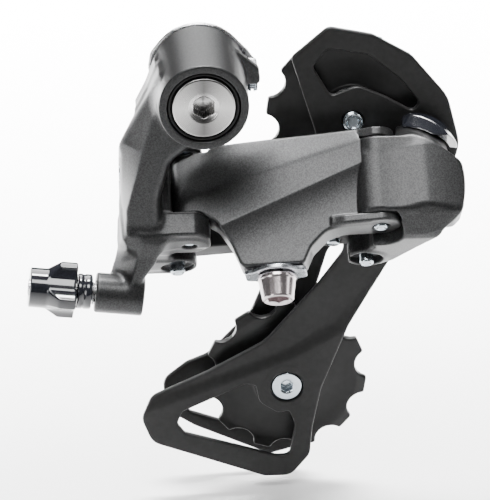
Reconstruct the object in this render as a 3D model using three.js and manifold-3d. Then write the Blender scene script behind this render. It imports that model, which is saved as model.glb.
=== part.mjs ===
// Rear bicycle derailleur: slanted four-pin parallelogram, sprung cage, two 11-tooth pulleys.
// Millimetres. +X to the bicycle's front, +Y inboard, +Z up.
// The origin is on the mounting axle's axis, in the plane of the hanger's outer face.

import * as THREE from 'three';
import { mergeVertices } from 'three/addons/utils/BufferGeometryUtils.js';
import Module from 'manifold-3d';

const wasm = await Module();
wasm.setup();

// ---------------------------------------------------------------- driving dimensions

const SLANT = THREE.MathUtils.degToRad(46);      // link pins lean outwards from the vertical
const LINK_LENGTH = 47.9;                        // between the two pins of one link
const LINK_REST = THREE.MathUtils.degToRad(-9.2);
const LINK_SWING = THREE.MathUtils.degToRad(68);
const B_OUTER = [-3.2, 19.2];                    // pin places across the slanted pin direction
const INNER_OFFSET = [-2.6, 15];                 // from each outer pin to its inner pin
const PIN_RADIUS = 1.8;
const PIN_HOLE = 2.15;
const P_AXLE = [53.5, -26];                      // x and z of the cage pivot
const CHAIN_PITCH = 12.7;
const PULLEY_TEETH = 11;
const PULLEY_TIP_RADIUS = 21.5;
const PULLEY_Y = 7.3;                            // pulley plane, from the hanger face
const GUIDE = [38.97, -16.85];                   // x and z of the upper pulley
const TENSION = [22.76, -91.58];                 // x and z of the lower pulley
const OUTER_PLATE_Y = [1.8, 3.4];
const INNER_PLATE_Y = [11.3, 12.9];

const alongLink = ([x, q]) => [
  x + LINK_LENGTH * Math.cos(LINK_REST),
  q + LINK_LENGTH * Math.sin(LINK_REST),
];
const addPair = ([a, b], [c, d]) => [a + c, b + d];
const P_OUTER = alongLink(B_OUTER);
const B_INNER = addPair(B_OUTER, INNER_OFFSET);
const P_INNER = addPair(P_OUTER, INNER_OFFSET);

// ---------------------------------------------------------------- materials

const finish = (color, roughness, metalness) =>
  new THREE.MeshStandardMaterial({ color, roughness, metalness });
const PAINT = () => finish(0x4b4e52, 0.42, 0.6);
const SATIN_BLACK = () => finish(0x1c1d1f, 0.5, 0.3);
const GLOSS_BLACK = () => finish(0x121315, 0.18, 0.1);
const STEEL = () => finish(0xb9babc, 0.28, 1.0);
const ZINC = () => finish(0xa3b1bb, 0.3, 1.0);
const CHROME = () => finish(0xc4bcbf, 0.12, 1.0);
const RESIN = () => finish(0x1a1a1c, 0.55, 0.0);
const BRONZE = () => finish(0x8c7447, 0.45, 0.9);

// ---------------------------------------------------------------- solid helpers

function toSolid(geometry) {
  const plain = geometry.index ? geometry.toNonIndexed() : geometry.clone();
  for (const name of Object.keys(plain.attributes)) {
    if (name !== 'position') plain.deleteAttribute(name);
  }
  const merged = mergeVertices(plain, 1e-4);
  const vertProperties = new Float32Array(merged.attributes.position.array);
  const triVerts = new Uint32Array(merged.index.array);
  return new wasm.Manifold(new wasm.Mesh({ numProp: 3, vertProperties, triVerts }));
}

function toGeometry(solid) {
  const { vertProperties, triVerts } = solid.getMesh();
  const geometry = new THREE.BufferGeometry();
  geometry.setAttribute('position', new THREE.BufferAttribute(new Float32Array(vertProperties), 3));
  geometry.setIndex(new THREE.BufferAttribute(new Uint32Array(triVerts), 1));
  geometry.computeVertexNormals();
  return geometry;
}

// Joins every geometry in `parts`, then cuts away every geometry in `cuts`.
function carve(parts, cuts = []) {
  const joined = parts.map(toSolid).reduce((a, b) => a.add(b));
  return toGeometry(cuts.map(toSolid).reduce((a, b) => a.subtract(b), joined));
}

function common(a, b) {
  return toGeometry(toSolid(a).intersect(toSolid(b)));
}

function piece(name, geometry, material) {
  const mesh = new THREE.Mesh(geometry, material);
  mesh.name = name;
  return mesh;
}

// Shape with straight sides between [x, y, cornerRadius] points; radius 0 keeps a corner sharp.
function outline(points) {
  const shape = new THREE.Shape();
  const count = points.length;
  points.forEach(([x, y, radius = 0], i) => {
    const here = new THREE.Vector2(x, y);
    const before = new THREE.Vector2(...points[(i + count - 1) % count]).sub(here);
    const after = new THREE.Vector2(...points[(i + 1) % count]).sub(here);
    const half = Math.abs(before.angleTo(after)) / 2;
    const back = Math.min(radius / Math.tan(half), before.length() * 0.49, after.length() * 0.49);
    const enter = here.clone().addScaledVector(before.normalize(), back);
    const leave = here.clone().addScaledVector(after.normalize(), back);
    if (i === 0) shape.moveTo(enter.x, enter.y);
    else shape.lineTo(enter.x, enter.y);
    if (radius > 0) shape.quadraticCurveTo(x, y, leave.x, leave.y);
  });
  shape.closePath();
  return shape;
}

function circle(x, y, radius) {
  return new THREE.Shape().absarc(x, y, radius, 0, Math.PI * 2, false);
}

// Two discs joined by their outer tangents.
function capsule([x0, y0], [x1, y1], r0, r1 = r0) {
  const length = Math.hypot(x1 - x0, y1 - y0);
  const aim = Math.atan2(y1 - y0, x1 - x0);
  const lean = Math.acos((r0 - r1) / length);
  const shape = new THREE.Shape();
  shape.absarc(x0, y0, r0, aim + lean, aim - lean + Math.PI * 2, false);
  shape.absarc(x1, y1, r1, aim - lean, aim + lean, false);
  shape.closePath();
  return shape;
}

function prism(shape, low, high, curveSegments = 10) {
  const options = { depth: high - low, bevelEnabled: false, curveSegments };
  return new THREE.ExtrudeGeometry(shape, options).translate(0, 0, low);
}

// A prism whose shape lies in the x-z plane and whose depth runs along +Y.
function plate(shape, low, high, curveSegments = 10) {
  return prism(shape, -high, -low, curveSegments).rotateX(Math.PI / 2);
}

// A prism whose shape lies in the y-z plane and whose depth runs along +X.
function slab(shape, low, high, curveSegments = 10) {
  return prism(shape, low, high, curveSegments).rotateX(Math.PI / 2).rotateZ(Math.PI / 2);
}

// Slanted frame: x, q (inboard and down) and u (inboard and up, along the link pins).
const slanted = (geometry) => geometry.rotateX(-SLANT);
const slantPrism = (shape, low, high, segments = 10) => slanted(prism(shape, low, high, segments));

// Turned piece about +Y through x, z; the profile is [radius, y] pairs from axis to axis.
function turned(profile, [x, z] = [0, 0], segments = 24) {
  const points = profile.map(([r, y]) => new THREE.Vector2(r, y));
  const geometry = new THREE.LatheGeometry(points, segments);
  return geometry.translate(x, 0, z);
}

const drum = (radius, low, high, centre, segments = 24) =>
  turned([[0, low], [radius, low], [radius, high], [0, high]], centre, segments);

const cone = (r0, r1, low, high, centre, segments = 24) =>
  turned([[0, low], [r0, low], [r1, high], [0, high]], centre, segments);

function ring(inner, outer, low, high, centre, segments = 20) {
  const profile = [[inner, low], [outer, low], [outer, high], [inner, high], [inner, low]];
  return turned(profile, centre, segments);
}

// Turned piece about +Z.
function spun(profile, segments = 16) {
  const points = profile.map(([r, z]) => new THREE.Vector2(r, z));
  return new THREE.LatheGeometry(points, segments).rotateX(Math.PI / 2);
}

// Turned piece about +X.
function barrelX(profile, y, z, segments = 20) {
  const points = profile.map(([r, x]) => new THREE.Vector2(r, x));
  return new THREE.LatheGeometry(points, segments).rotateZ(-Math.PI / 2).translate(0, y, z);
}

function hexBar(acrossFlats, low, high) {
  const points = [0, 1, 2, 3, 4, 5].map((i) => {
    const angle = (i * Math.PI) / 3;
    const radius = acrossFlats / Math.sqrt(3);
    return [radius * Math.cos(angle), radius * Math.sin(angle)];
  });
  return prism(outline(points), low, high, 1);
}

class Helix extends THREE.Curve {
  constructor(radius, turns, low, high) {
    super();
    Object.assign(this, { radius, turns, low, high });
  }

  getPoint(t, target = new THREE.Vector3()) {
    const angle = t * this.turns * Math.PI * 2;
    const height = this.low + (this.high - this.low) * t;
    return target.set(this.radius * Math.cos(angle), this.radius * Math.sin(angle), height);
  }
}

// Coil about +Z, swept as a five-sided wire.
function coil(radius, wire, turns, low, high, stepsPerTurn = 10) {
  const section = new THREE.Shape();
  for (let i = 0; i < 5; i += 1) {
    const angle = (i * Math.PI * 2) / 5;
    const point = [wire * Math.cos(angle), wire * Math.sin(angle)];
    if (i === 0) section.moveTo(...point);
    else section.lineTo(...point);
  }
  section.closePath();
  return new THREE.ExtrudeGeometry(section, {
    steps: Math.round(turns * stepsPerTurn),
    extrudePath: new Helix(radius, turns, low, high),
    bevelEnabled: false,
  });
}

const coilY = (radius, wire, turns, low, high, [x, z]) =>
  coil(radius, wire, turns, low, high).rotateX(-Math.PI / 2).translate(x, 0, z);

// ---------------------------------------------------------------- mounting axle group

const HEAD_Y = -27;
const KNUCKLE_BACK = -2.4;

function makeBAxle() {
  const body = turned([
    [0, HEAD_Y], [7.3, HEAD_Y], [7.7, HEAD_Y + 0.4], [7.7, -23.4], [5, -23.4], [5, -2.2],
    [4.2, -2.2], [4.2, -0.9], [5, -0.9], [5, 8.1], [4.5, 8.6], [0, 8.6],
  ]);
  const socket = hexBar(5, -6, 0).rotateX(Math.PI / 2).translate(0, HEAD_Y - 0.5, 0);
  return piece('b_axle', carve([body], [socket]), STEEL());
}

function makeBAxleClip() {
  const open = plate(outline([[-1.2, 0], [1.2, 0], [3.4, -9], [-3.4, -9]]), -2, 0);
  return piece('b_axle_clip', carve([ring(4.5, 7.2, -1.9, -1.2)], [open]), STEEL());
}

function makeStopperPlate() {
  const disc = circle(0, 0, 12);
  const lobe = outline([[4, 10.4], [12.2, 4.6, 1], [14.5, 1.4, 1], [14.4, -1.2, 1], [9, -6], [2, 0]]);
  const heel = outline([[-6, 9.6, 0], [-12.6, 4.6, 1], [-13.4, 0.4, 1], [-10.6, -4, 0], [-2, 0, 0]]);
  const lug = plate(outline([[11.95, 1.2], [14.4, 1.2], [14.4, 2.4], [11.95, 2.4]]), -6.8, -1.5);
  const sheet = carve(
    [plate(disc, -2.1, -0.9, 20), plate(lobe, -2.1, -0.9), plate(heel, -2.1, -0.9), lug],
    [drum(7.5, -2.2, -0.8)],
  );
  return piece('stopper_plate', sheet, STEEL());
}

function makeBSpring() {
  return piece('b_tension_spring', coilY(6.55, 0.75, 5, -18.9, -3.6, [0, 0]), STEEL());
}

function makeBBush() {
  return piece('b_axle_bush', ring(8.05, 8.75, -26.7, -24.2), RESIN());
}

// ---------------------------------------------------------------- B-knuckle (bracket body)

const UPPER_LUG_U = [-16.2, -12.4];
const LOWER_LUG_U = [-40.6, -34.1];
const INNER_UPPER_LUG_U = [-28.3, -24.9];
const INNER_LOWER_LUG_U = [-40.6, -37.2];
const ADJUSTER = [-23, -18, -53.3];              // a point on the cable adjuster's axis
const ADJUSTER_TILT = THREE.MathUtils.degToRad(7);
const LIMIT_SCREWS = [
  ['limit_screw_high', -2.9, -27.3],
  ['limit_screw_low', -8.4, -33.0],
];
const B_SCREW = [13.1, -5.2];                    // x and y of the B-tension screw

const onAdjuster = (geometry) => geometry.rotateY(ADJUSTER_TILT).translate(...ADJUSTER);

function makeBKnuckle() {
  const barrel = cone(10.3, 11.45, HEAD_Y, KNUCKLE_BACK, [0, 0], 32);
  const flank = plate(outline([
    [-10, 5.4], [-19.5, -13.4], [-20.4, -15.4, 0.5], [-20.2, -17.6], [-20.3, -30],
    [-10.3, -30], [-10, -25], [-7.6, -17.4, 3], [0.4, -11.6], [4, -6],
  ]), -20.4, -11);
  const web = plate(outline([[-10.6, 4.4], [-16, -6.4], [-10, -12], [-5, -8]]), -12, -5);
  const spine = slab(outline([
    [-20.3, -37.5, 1], [-7.5, -25.2, 3], [-7.5, -16, 0], [2, -16, 1], [7.2, -25, 2], [7.2, -43, 2],
    [-4, -54.2, 2],
  ]), -20, -10.4);
  const lugs = [
    slantPrism(capsule(B_OUTER, [-14, B_OUTER[1]], 4.2), ...UPPER_LUG_U),
    slantPrism(capsule(B_OUTER, [-14, B_OUTER[1]], 5), ...LOWER_LUG_U),
    slantPrism(capsule(B_INNER, [-14, B_INNER[1]], 4.2), ...INNER_UPPER_LUG_U),
    slantPrism(capsule(B_INNER, [-14, B_INNER[1]], 5), ...INNER_LOWER_LUG_U),
  ];
  const neck = plate(outline([
    [-20, -37, 0], [-20.4, -42.5, 2], [-23, -47, 2], [-26.9, -49.4, 0], [-26.9, -52.7, 0],
    [-15.4, -52.7, 0], [-15.2, -49, 3], [-12, -44.5, 3], [-10.4, -37, 0],
  ]), ADJUSTER[1] - 3.6, ADJUSTER[1] + 5.6);
  const boss = onAdjuster(barrelX([[0, -4], [5, -4], [5, 8], [0, 8]], 0, 0));
  const screwBoss = plate(outline([[9, -1.1], [14.6, -1.1, 0.8], [14.6, 0.6], [9, 0.6]]), -9.6, -2.7);
  const wallShape = outline([[8, -1.1], [14.6, -1.1, 0.8], [14.6, 2.6, 1], [9.6, 7], [6, 7]]);
  const screwWall = plate(wallShape, -9.9, -7.3);
  const cuts = [
    drum(9.0, HEAD_Y - 1, -22.9, [0, 0]),
    drum(5.3, HEAD_Y, 0, [0, 0], 24),
    drum(8.2, -20.2, 0, [0, 0]),
    pinHole(B_OUTER),
    pinHole(B_INNER),
    slanted(spun([[0, -42], [4.2, -42], [4.2, -39.2], [0, -39.2]], 24).translate(...B_INNER, 0)),
    onAdjuster(barrelX([[0, -6], [2.9, -6], [2.9, 5], [1.5, 5.8], [1.5, 12], [0, 12]], 0, 0, 16)),
    spun([[0, -3], [1.75, -3], [1.75, 1], [0, 1]], 14).translate(...B_SCREW, 0),
    ...LIMIT_SCREWS.map(([, y, z]) => barrelX(
      [[0, -22], [2.3, -22], [2.3, -17.4], [1.6, -17.4], [1.6, -9], [0, -9]], y, z, 16)),
    // room for the ends of both links, cut a little into the lugs' faces
    slantPrism(swingShape(B_OUTER, 0, 5.7, 5, 10, 5.9), LOWER_LUG_U[1] - 0.1, UPPER_LUG_U[0] + 0.1),
    slantPrism(
      swingShape(B_INNER, 0, 3.9, 3.9, 10, 4.05), INNER_LOWER_LUG_U[1] - 0.1, INNER_UPPER_LUG_U[0] + 0.1),
    drum(12.4, KNUCKLE_BACK, 4, [0, 0]),
  ];
  const body = [barrel, flank, web, spine, neck, boss, screwBoss, screwWall, ...lugs];
  return piece('b_knuckle', carve(body, cuts), PAINT());
}

function makeBTensionScrew() {
  const body = spun([[0, -4.6], [1.2, -4.6], [1.4, -4.3], [1.4, 0.7], [1.1, 0.9], [0, 0.9]], 16);
  const slot = new THREE.BoxGeometry(0.6, 3, 1).translate(0, 0, -4.6);
  const screw = piece('b_tension_screw', carve([body], [slot]), ZINC());
  screw.position.set(...B_SCREW, 0);
  return screw;
}

function makeLimitScrew(name, y, z) {
  const profile = [[0, -20.2], [1.7, -20.2], [2, -19.9], [2, -17.7], [1.3, -17.7], [1.3, -9.7], [0, -9.7]];
  const body = barrelX(profile, 0, 0, 16);
  const across = new THREE.BoxGeometry(1.6, 0.5, 2.6).translate(-20.2, 0, 0);
  const down = new THREE.BoxGeometry(1.6, 2.6, 0.5).translate(-20.2, 0, 0);
  const screw = piece(name, carve([body], [across, down]), ZINC());
  screw.position.set(0, y, z);
  return screw;
}

// ---------------------------------------------------------------- cable adjuster

function makeAdjusterKnob() {
  const core = barrelX([[0, -20.5], [4.6, -20.5], [5, -20.1], [5, -8.9], [0, -8.9]], 0, 0);
  const lobes = [0, 1, 2, 3].map((i) => {
    const lobe = new THREE.CylinderGeometry(2.2, 2.2, 5.6, 10).rotateZ(Math.PI / 2);
    return lobe.translate(-11.9, 5.2, 0).rotateX((i * Math.PI) / 2 + 0.07);
  });
  const bore = barrelX([[0, -22], [2.2, -22], [2.2, -8], [0, -8]], 0, 0, 12);
  return piece('adjuster_knob', carve([core, ...lobes], [bore]), GLOSS_BLACK());
}

function makeAdjusterScrew() {
  const bore = 0.75;
  const profile = [
    [bore, -20.8], [1.9, -20.8], [1.9, -8.6], [2.5, -8.6], [2.5, 3.4], [bore, 3.4], [bore, -20.8],
  ];
  return piece('adjuster_screw', barrelX(profile, 0, 0, 12), STEEL());
}

function makeAdjusterCollar() {
  const profile = [[3.5, -8.6], [4.4, -8.6], [4.4, -5], [3.5, -5], [3.5, -8.6]];
  return piece('adjuster_collar', barrelX(profile, 0, 0, 20), GLOSS_BLACK());
}

function makeAdjusterSpring() {
  return piece('adjuster_spring', coil(2.98, 0.2, 3, -8.2, -4.4, 8).rotateY(Math.PI / 2), STEEL());
}

// ---------------------------------------------------------------- links, drawn from their B pin along +x

const TONGUE_U = [-33.8, -16.5];
const EAR_U = [-17.0, -14.5];
const LOWER_EAR_U = [-39.6, -37.4];
const OUTER_DEPTH = [-5.2, 4.2];                 // outboard face and inboard edge, from the pin line

// The cage sweeps the space inboard of y; this is that space, with a sloping start beside the
// lug, in the frame of a link on pin [x, q].
function cageRoom([x, q], y, start) {
  const area = outline([[start, 5.5], [start + 7.5, y], [72, y], [72, 20], [start, 20]]);
  const room = prism(area, -70, 10).rotateX(SLANT);
  return room.translate(-x, -q, 0).rotateZ(-LINK_REST);
}

function makeOuterLink() {
  const [face, edge] = OUTER_DEPTH;
  const reach = LINK_LENGTH;
  const ears = [EAR_U, LOWER_EAR_U].map((u) => prism(capsule([40, -1.2], [reach, 0], 3.8, 4.8), ...u, 8));
  const web = new THREE.ExtrudeGeometry(outline([
    [-2, -33.8, 0], [4.9, -33.9, 3], [9.6, -39, 3], [12, -46, 3], [14, -48.4, 2], [28.6, -48.8, 2],
    [31, -45, 3], [35.5, -40.4, 3], [46.6, -39.6, 0], [44.2, -14.5, 0], [17, -16.5, 0], [-2, -16.5, 0],
  ]), { depth: 1.9, bevelEnabled: false, curveSegments: 3 });
  web.rotateX(Math.PI / 2).translate(0, face + 1.9, 0);
  const topFlange = prism(outline([[0, face], [43, face], [43, edge], [0, edge]]), -18.7, -16.5);
  const lowFlange = prism(outline([[0, face], [40, face], [40, edge], [0, edge]]), -33.8, -31.4);
  const tongue = prism(capsule([0, 0], [6, -0.4], 4.2, 4.6), ...TONGUE_U, 12);
  const shelfShape = outline([[12.4, face, 1], [29.4, face, 1], [29.4, 3.6, 3], [12.4, 3.6, 3]]);
  const clampShelf = prism(shelfShape, -48.4, -45);
  const post = prism(outline([[13, face], [29, face], [29, -1.2], [13, -1.2]]), -47, -36);
  const bar = prism(outline([[30, face], [43.5, face], [43.5, 4.0, 2], [30, 2.6, 2]]), ...LOWER_EAR_U);
  const hole = (x, radius, low, high) => spun([[0, low], [radius, low], [radius, high], [0, high]], 12)
    .translate(x, 0, 0);
  const cuts = [
    hole(0, PIN_HOLE, -45, 0),
    hole(reach, PIN_HOLE, -45, 0),
    hole(CLAMP_X, 2.8, -52, -40),
    // room for the tongue of the P-knuckle
    prism(circle(reach, 0, 4.85), LOWER_EAR_U[1], EAR_U[0], 10),
    cageRoom(B_OUTER, 0.2, 1.2),
  ];
  const geometry = carve([tongue, web, topFlange, lowFlange, clampShelf, post, bar, ...ears], cuts);
  return piece('outer_link', geometry, PAINT());
}

function makeInnerLink() {
  const arm = prism(capsule([0, 0], [LINK_LENGTH, 0], 3.5), -36.9, -28.6, 12);
  const hollow = prism(outline([[9, -2, 1], [34, -2, 1], [34, 2, 1], [9, 2, 1]]), -34.9, -28);
  const hole = (x) => spun([[0, -45], [PIN_HOLE, -45], [PIN_HOLE, 0], [0, 0]], 12).translate(x, 0, 0);
  const anchor = spun([[0, -45], [1.9, -45], [1.9, 0], [0, 0]], 12).translate(SPRING_PIN_X, 0, 0);
  const cuts = [hollow, hole(0), hole(LINK_LENGTH), anchor, cageRoom(B_INNER, 0.6, -2)];
  return piece('inner_link', carve([arm], cuts), SATIN_BLACK());
}

const CLAMP_X = 21.4;                            // cable bolt's place along the outer link
const SPRING_PIN_X = 39.9;                       // spring anchor pin's place along the inner link

function makeSpringPin() {
  const pin = piece('spring_anchor_pin', spun([[0, -38], [1.6, -38], [1.6, -29], [0, -29]], 16), STEEL());
  pin.position.set(SPRING_PIN_X, 0, 0);
  return pin;
}

function makeReturnSpring() {
  const geometry = coil(1.5, 0.3, 8, -11.5, 11.5, 8).rotateY(Math.PI / 2).translate(21.5, 0, -31.6);
  return piece('return_spring', geometry, STEEL());
}

function makeCableClampPlate() {
  const washer = prism(circle(0, 0, 6), -50.3, -49.1, 8);
  const tabs = [
    prism(outline([[-7.8, -2.4, 1], [-3, -4, 0], [-3, 4, 0], [-7.8, 2.4, 1]]), -50.3, -49.1),
    prism(outline([[3, -4, 0], [7.4, -2.6, 1], [7.4, 2.6, 1], [3, 4, 0]]), -50.3, -49.1),
  ];
  const bore = spun([[0, -53], [2.8, -53], [2.8, -48], [0, -48]], 18);
  const plateMesh = piece('cable_clamp_plate', carve([washer, ...tabs], [bore]), ZINC());
  plateMesh.position.set(CLAMP_X, 0, 0);
  return plateMesh;
}

function makeCableBolt() {
  const body = spun([
    [0, -56.9], [3.6, -56.9], [4, -56.5], [4.8, -50.6], [2.5, -50.6], [2.5, -43], [0, -43],
  ], 24);
  const socket = hexBar(5, -58, -53.6);
  const bolt = piece('cable_fixing_bolt', carve([body], [socket]), CHROME());
  bolt.position.set(CLAMP_X, 0, 0);
  return bolt;
}

function makePin(name, [x, q], low, high) {
  const r = PIN_RADIUS;
  const profile = [[0, low], [r - 0.3, low], [r, low + 0.3], [r, high], [0, high]];
  const pin = piece(name, spun(profile, 12), ZINC());
  pin.position.set(x, q, 0);
  return pin;
}

// ---------------------------------------------------------------- P-knuckle (cage side)

const COVER_Y = [-17.6, -0.5];
const P_END = -24.6;

// The area that a link of the given half widths sweeps round one of its pins.
function swingShape([x, y], facing, right, left, reach, round) {
  const first = LINK_REST + facing;
  const last = first + LINK_SWING;
  const at = (angle, side, along, turn) => [
    x + side * Math.cos(angle + turn) + along * Math.cos(angle),
    y + side * Math.sin(angle + turn) + along * Math.sin(angle),
  ];
  const points = [at(first, right, 0, -Math.PI / 2), at(first, right, reach, -Math.PI / 2)];
  points.push(at((first + last) / 2, 0, reach * 1.4, 0));
  points.push(at(last, left, reach, Math.PI / 2), at(last, left, 0, Math.PI / 2));
  for (const share of [0.75, 0.5, 0.25]) {
    const angle = first + Math.PI * 1.5 + (LINK_SWING - Math.PI) * share;
    points.push([x + round * Math.cos(angle), y + round * Math.sin(angle)]);
  }
  return outline(points);
}

function pinHole([x, q]) {
  return slanted(spun([[0, -50], [PIN_HOLE, -50], [PIN_HOLE, 0], [0, 0]], 12).translate(x, q, 0));
}

function makePKnuckle() {
  const dome = turned([
    [0, P_END], [8.6, P_END], [11, P_END + 1.2], [12, P_END + 4], [12, -17.9], [0, -17.9],
  ], P_AXLE, 32);
  const core = drum(9.3, -19, -1.2, P_AXLE);
  const [px, pq] = P_OUTER;
  const [ix, iq] = P_INNER;
  const skirt = slantPrism(outline([
    [px, pq - 3.9], [px + 2, pq - 6.4], [px + 12, pq - 6.4], [px + 19.6, pq - 5.6, 3],
    [px + 16.4, pq - 1.6, 2], [px + 10, pq + 8, 3], [px + 4, pq + 18, 4], [ix, iq + 5], [ix, iq - 5],
    [px - 1.4, pq + 7], [px - 2, pq + 3.4],
  ]), -42.6, -17.4);
  const lugs = [
    slantPrism(circle(ix, iq, 4.2), -28.3, -24.8, 8),
    slantPrism(circle(ix, iq, 5.1), -42.6, -37.2, 8),
  ];
  const stopLug = slantPrism(outline([[46, 20], [55.8, 20], [55.8, 30], [46, 30]]), -35.4, -25);
  const cuts = [
    slantPrism(swingShape(P_OUTER, Math.PI, 4.6, 5.6, 14, 7), -37.6, -16.8),
    slantPrism(circle(px, pq, 5.3), -17.2, 0, 8),
    slantPrism(circle(px, pq, 5.3), -43, -37.2, 8),
    slantPrism(swingShape(P_OUTER, Math.PI, 5, 5.6, 14, 5.5), -50, -37.2),
    slantPrism(swingShape(P_INNER, Math.PI, 3.9, 3.9, 14, 4.05), -37.2, -28.3),
    drum(6.2, -15.6, 5, P_AXLE, 20),
    drum(3.3, -19.6, 5, P_AXLE, 16),
    slanted(spun([[0, -45], [4.2, -45], [4.2, -40.6], [0, -40.6]], 16).translate(ix, iq, 0)),
    pinHole(P_INNER),
    ...setScrewRoom(),
  ];
  const inboardLimit = plate(outline([[30, -60], [80, -60], [80, 5], [30, 5]]), P_END - 1, -0.9);
  const body = common(carve([dome, core, skirt, stopLug, ...lugs], cuts), inboardLimit);
  const tongue = slantPrism(capsule(P_OUTER, [px + 5, pq + 3.4], 4.5, 2.6), -37.1, -17.4, 8);
  const spared = carve([tongue], [drum(6.2, -15.6, 5, P_AXLE, 20), pinHole(P_OUTER)]);
  return piece('p_knuckle', carve([body, common(spared, inboardLimit)], []), PAINT());
}

const SET_SCREW_Y = -20.9;

function setScrewRoom() {
  return [spun([[0, -50], [1.8, -50], [1.8, -29.4], [0, -29.4]], 16).translate(P_AXLE[0], SET_SCREW_Y, 0)];
}

function makePSetScrew() {
  const body = spun([[0, -37.4], [1.4, -37.4], [1.4, -29.8], [0, -29.8]], 16);
  const socket = hexBar(1.6, -38, -36);
  const screw = piece('p_axle_set_screw', carve([body], [socket]), STEEL());
  screw.position.set(P_AXLE[0], SET_SCREW_Y, 0);
  return screw;
}

function makePCover() {
  const sleeve = ring(9.7, 11.9, ...COVER_Y, P_AXLE, 32);
  const [px, pq] = P_OUTER;
  const cuts = [
    slantPrism(circle(px, pq, 7), -45, 5, 8),
    slantPrism(swingShape(P_OUTER, Math.PI, 5, 5.6, 16, 7), -60, -13.8),
    slantPrism(outline([[30, pq - 6.8], [75, pq - 6.8], [75, 60], [30, 60]]), -60, -17.1),
  ];
  return piece('p_spring_cover', carve([sleeve], cuts), GLOSS_BLACK());
}

function makePAxle() {
  const body = turned([
    [0, -19.3], [2.9, -19.3], [2.9, -16], [3.0, -16], [3.0, 1.2], [4.6, 1.2], [4.6, 1.5], [3.0, 1.5],
    [3.0, 4.2], [4.4, 4.2], [4.4, 4.7], [0, 4.7],
  ], P_AXLE, 24);
  return piece('p_axle', body, STEEL());
}

function makePSpring() {
  return piece('p_tension_spring', coilY(4.9, 0.7, 5, -14.8, -2.2, P_AXLE), STEEL());
}

// ---------------------------------------------------------------- cage plates

const OUTER_PLATE = [
  [23.3, 0.6, 1.5], [32.5, 8.6, 2.5], [43.6, 6.3, 4], [53.6, 0.4, 6], [63, -11, 10], [66.4, -24, 10],
  [61.8, -40, 4], [49, -56.3, 8], [38.6, -74.5, 8], [31.8, -92.4, 8], [29.6, -104, 6], [29, -112, 4],
  [24, -118.2, 4], [17, -118.2, 4], [-3, -110.6, 10], [-12.6, -107, 5], [-15.4, -99.8, 4], [-12.6, -93.8, 4],
  [2.2, -86.9, 12], [17, -78.6, 10], [30.9, -62, 10], [37.4, -52.8, 4], [31.5, -26, 6],
];
const OUTER_WINDOW = [
  [-6, -101.6, 1], [-4.6, -98, 1.5], [12, -90.4, 1], [14.6, -91, 0], [15.6, -96, 3], [20.6, -99.4, 3],
  [23.4, -98.6, 0], [25, -103, 2], [23.6, -112, 2.5], [20, -112, 2], [-4, -104.4, 1],
];
const UPPER_WINDOW = [
  [28.7, -2, 1], [32.4, 2.8, 1.5], [42.6, 1, 3], [51, -6, 4], [55.8, -12.4, 1], [54, -14.6, 1],
  [47.2, -10.6, 4], [40, -7.4, 4], [33.4, -10, 1],
];
const INNER_PLATE = [
  [25.4, -4.4, 2], [33.4, 2.4, 3], [44.5, 1.2, 6], [54, -5.6, 8], [56, -18, 8], [48, -40, 8], [34, -57.4, 6],
  [29.4, -74, 8], [31.4, -92, 8], [29.6, -106, 6], [26.4, -115.4, 4], [19, -117.4, 4], [-1, -108, 8],
  [-8.6, -103, 4], [-9.2, -94, 4], [-3, -89, 6], [2.8, -86.6, 6], [14, -74.6, 8], [19, -62, 8],
  [26, -40, 12], [27, -20, 10],
];
const INNER_WINDOW = [
  [-3.6, -99, 1.5], [13.6, -88.2, 1.5], [15.4, -97, 3], [20.6, -99.4, 3], [25.6, -99, 1], [25.4, -106, 2],
  [21, -112.2, 2], [-2.4, -103.6, 1.5],
];

function makeOuterPlate() {
  const sheet = plate(outline(OUTER_PLATE), ...OUTER_PLATE_Y, 4);
  const rim = drum(6.2, OUTER_PLATE_Y[0] - 0.9, OUTER_PLATE_Y[1], TENSION);
  const cuts = [
    plate(outline(OUTER_WINDOW), -2, 8, 3),
    plate(outline(UPPER_WINDOW), -2, 8, 3),
    drum(4.3, -2, 2.9, TENSION),
    drum(2.8, -2, 8, TENSION, 18),
    drum(2.8, -2, 8, GUIDE, 18),
    drum(3.3, -2, 8, P_AXLE, 24),
    plate(circle(...STOP_PIN, 1.8), -2, 8, 8),
  ];
  return piece('outer_plate', carve([sheet, rim], cuts), SATIN_BLACK());
}

function makeInnerPlate() {
  const sheet = plate(outline(INNER_PLATE), ...INNER_PLATE_Y, 4);
  const cuts = [
    plate(outline(INNER_WINDOW), 5, 16, 3),
    drum(2.8, 5, 16, TENSION, 18),
    drum(2.8, 5, 16, GUIDE, 18),
  ];
  return piece('inner_plate', carve([sheet], cuts), SATIN_BLACK());
}

const STOP_PIN = [57.8, -40.2];

function makeStopPin() {
  const body = turned([[0, -6], [1.5, -6], [1.5, 4.4], [0, 4.4]], STOP_PIN, 16);
  return piece('cage_stop_pin', body, STEEL());
}

// ---------------------------------------------------------------- pulleys

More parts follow.
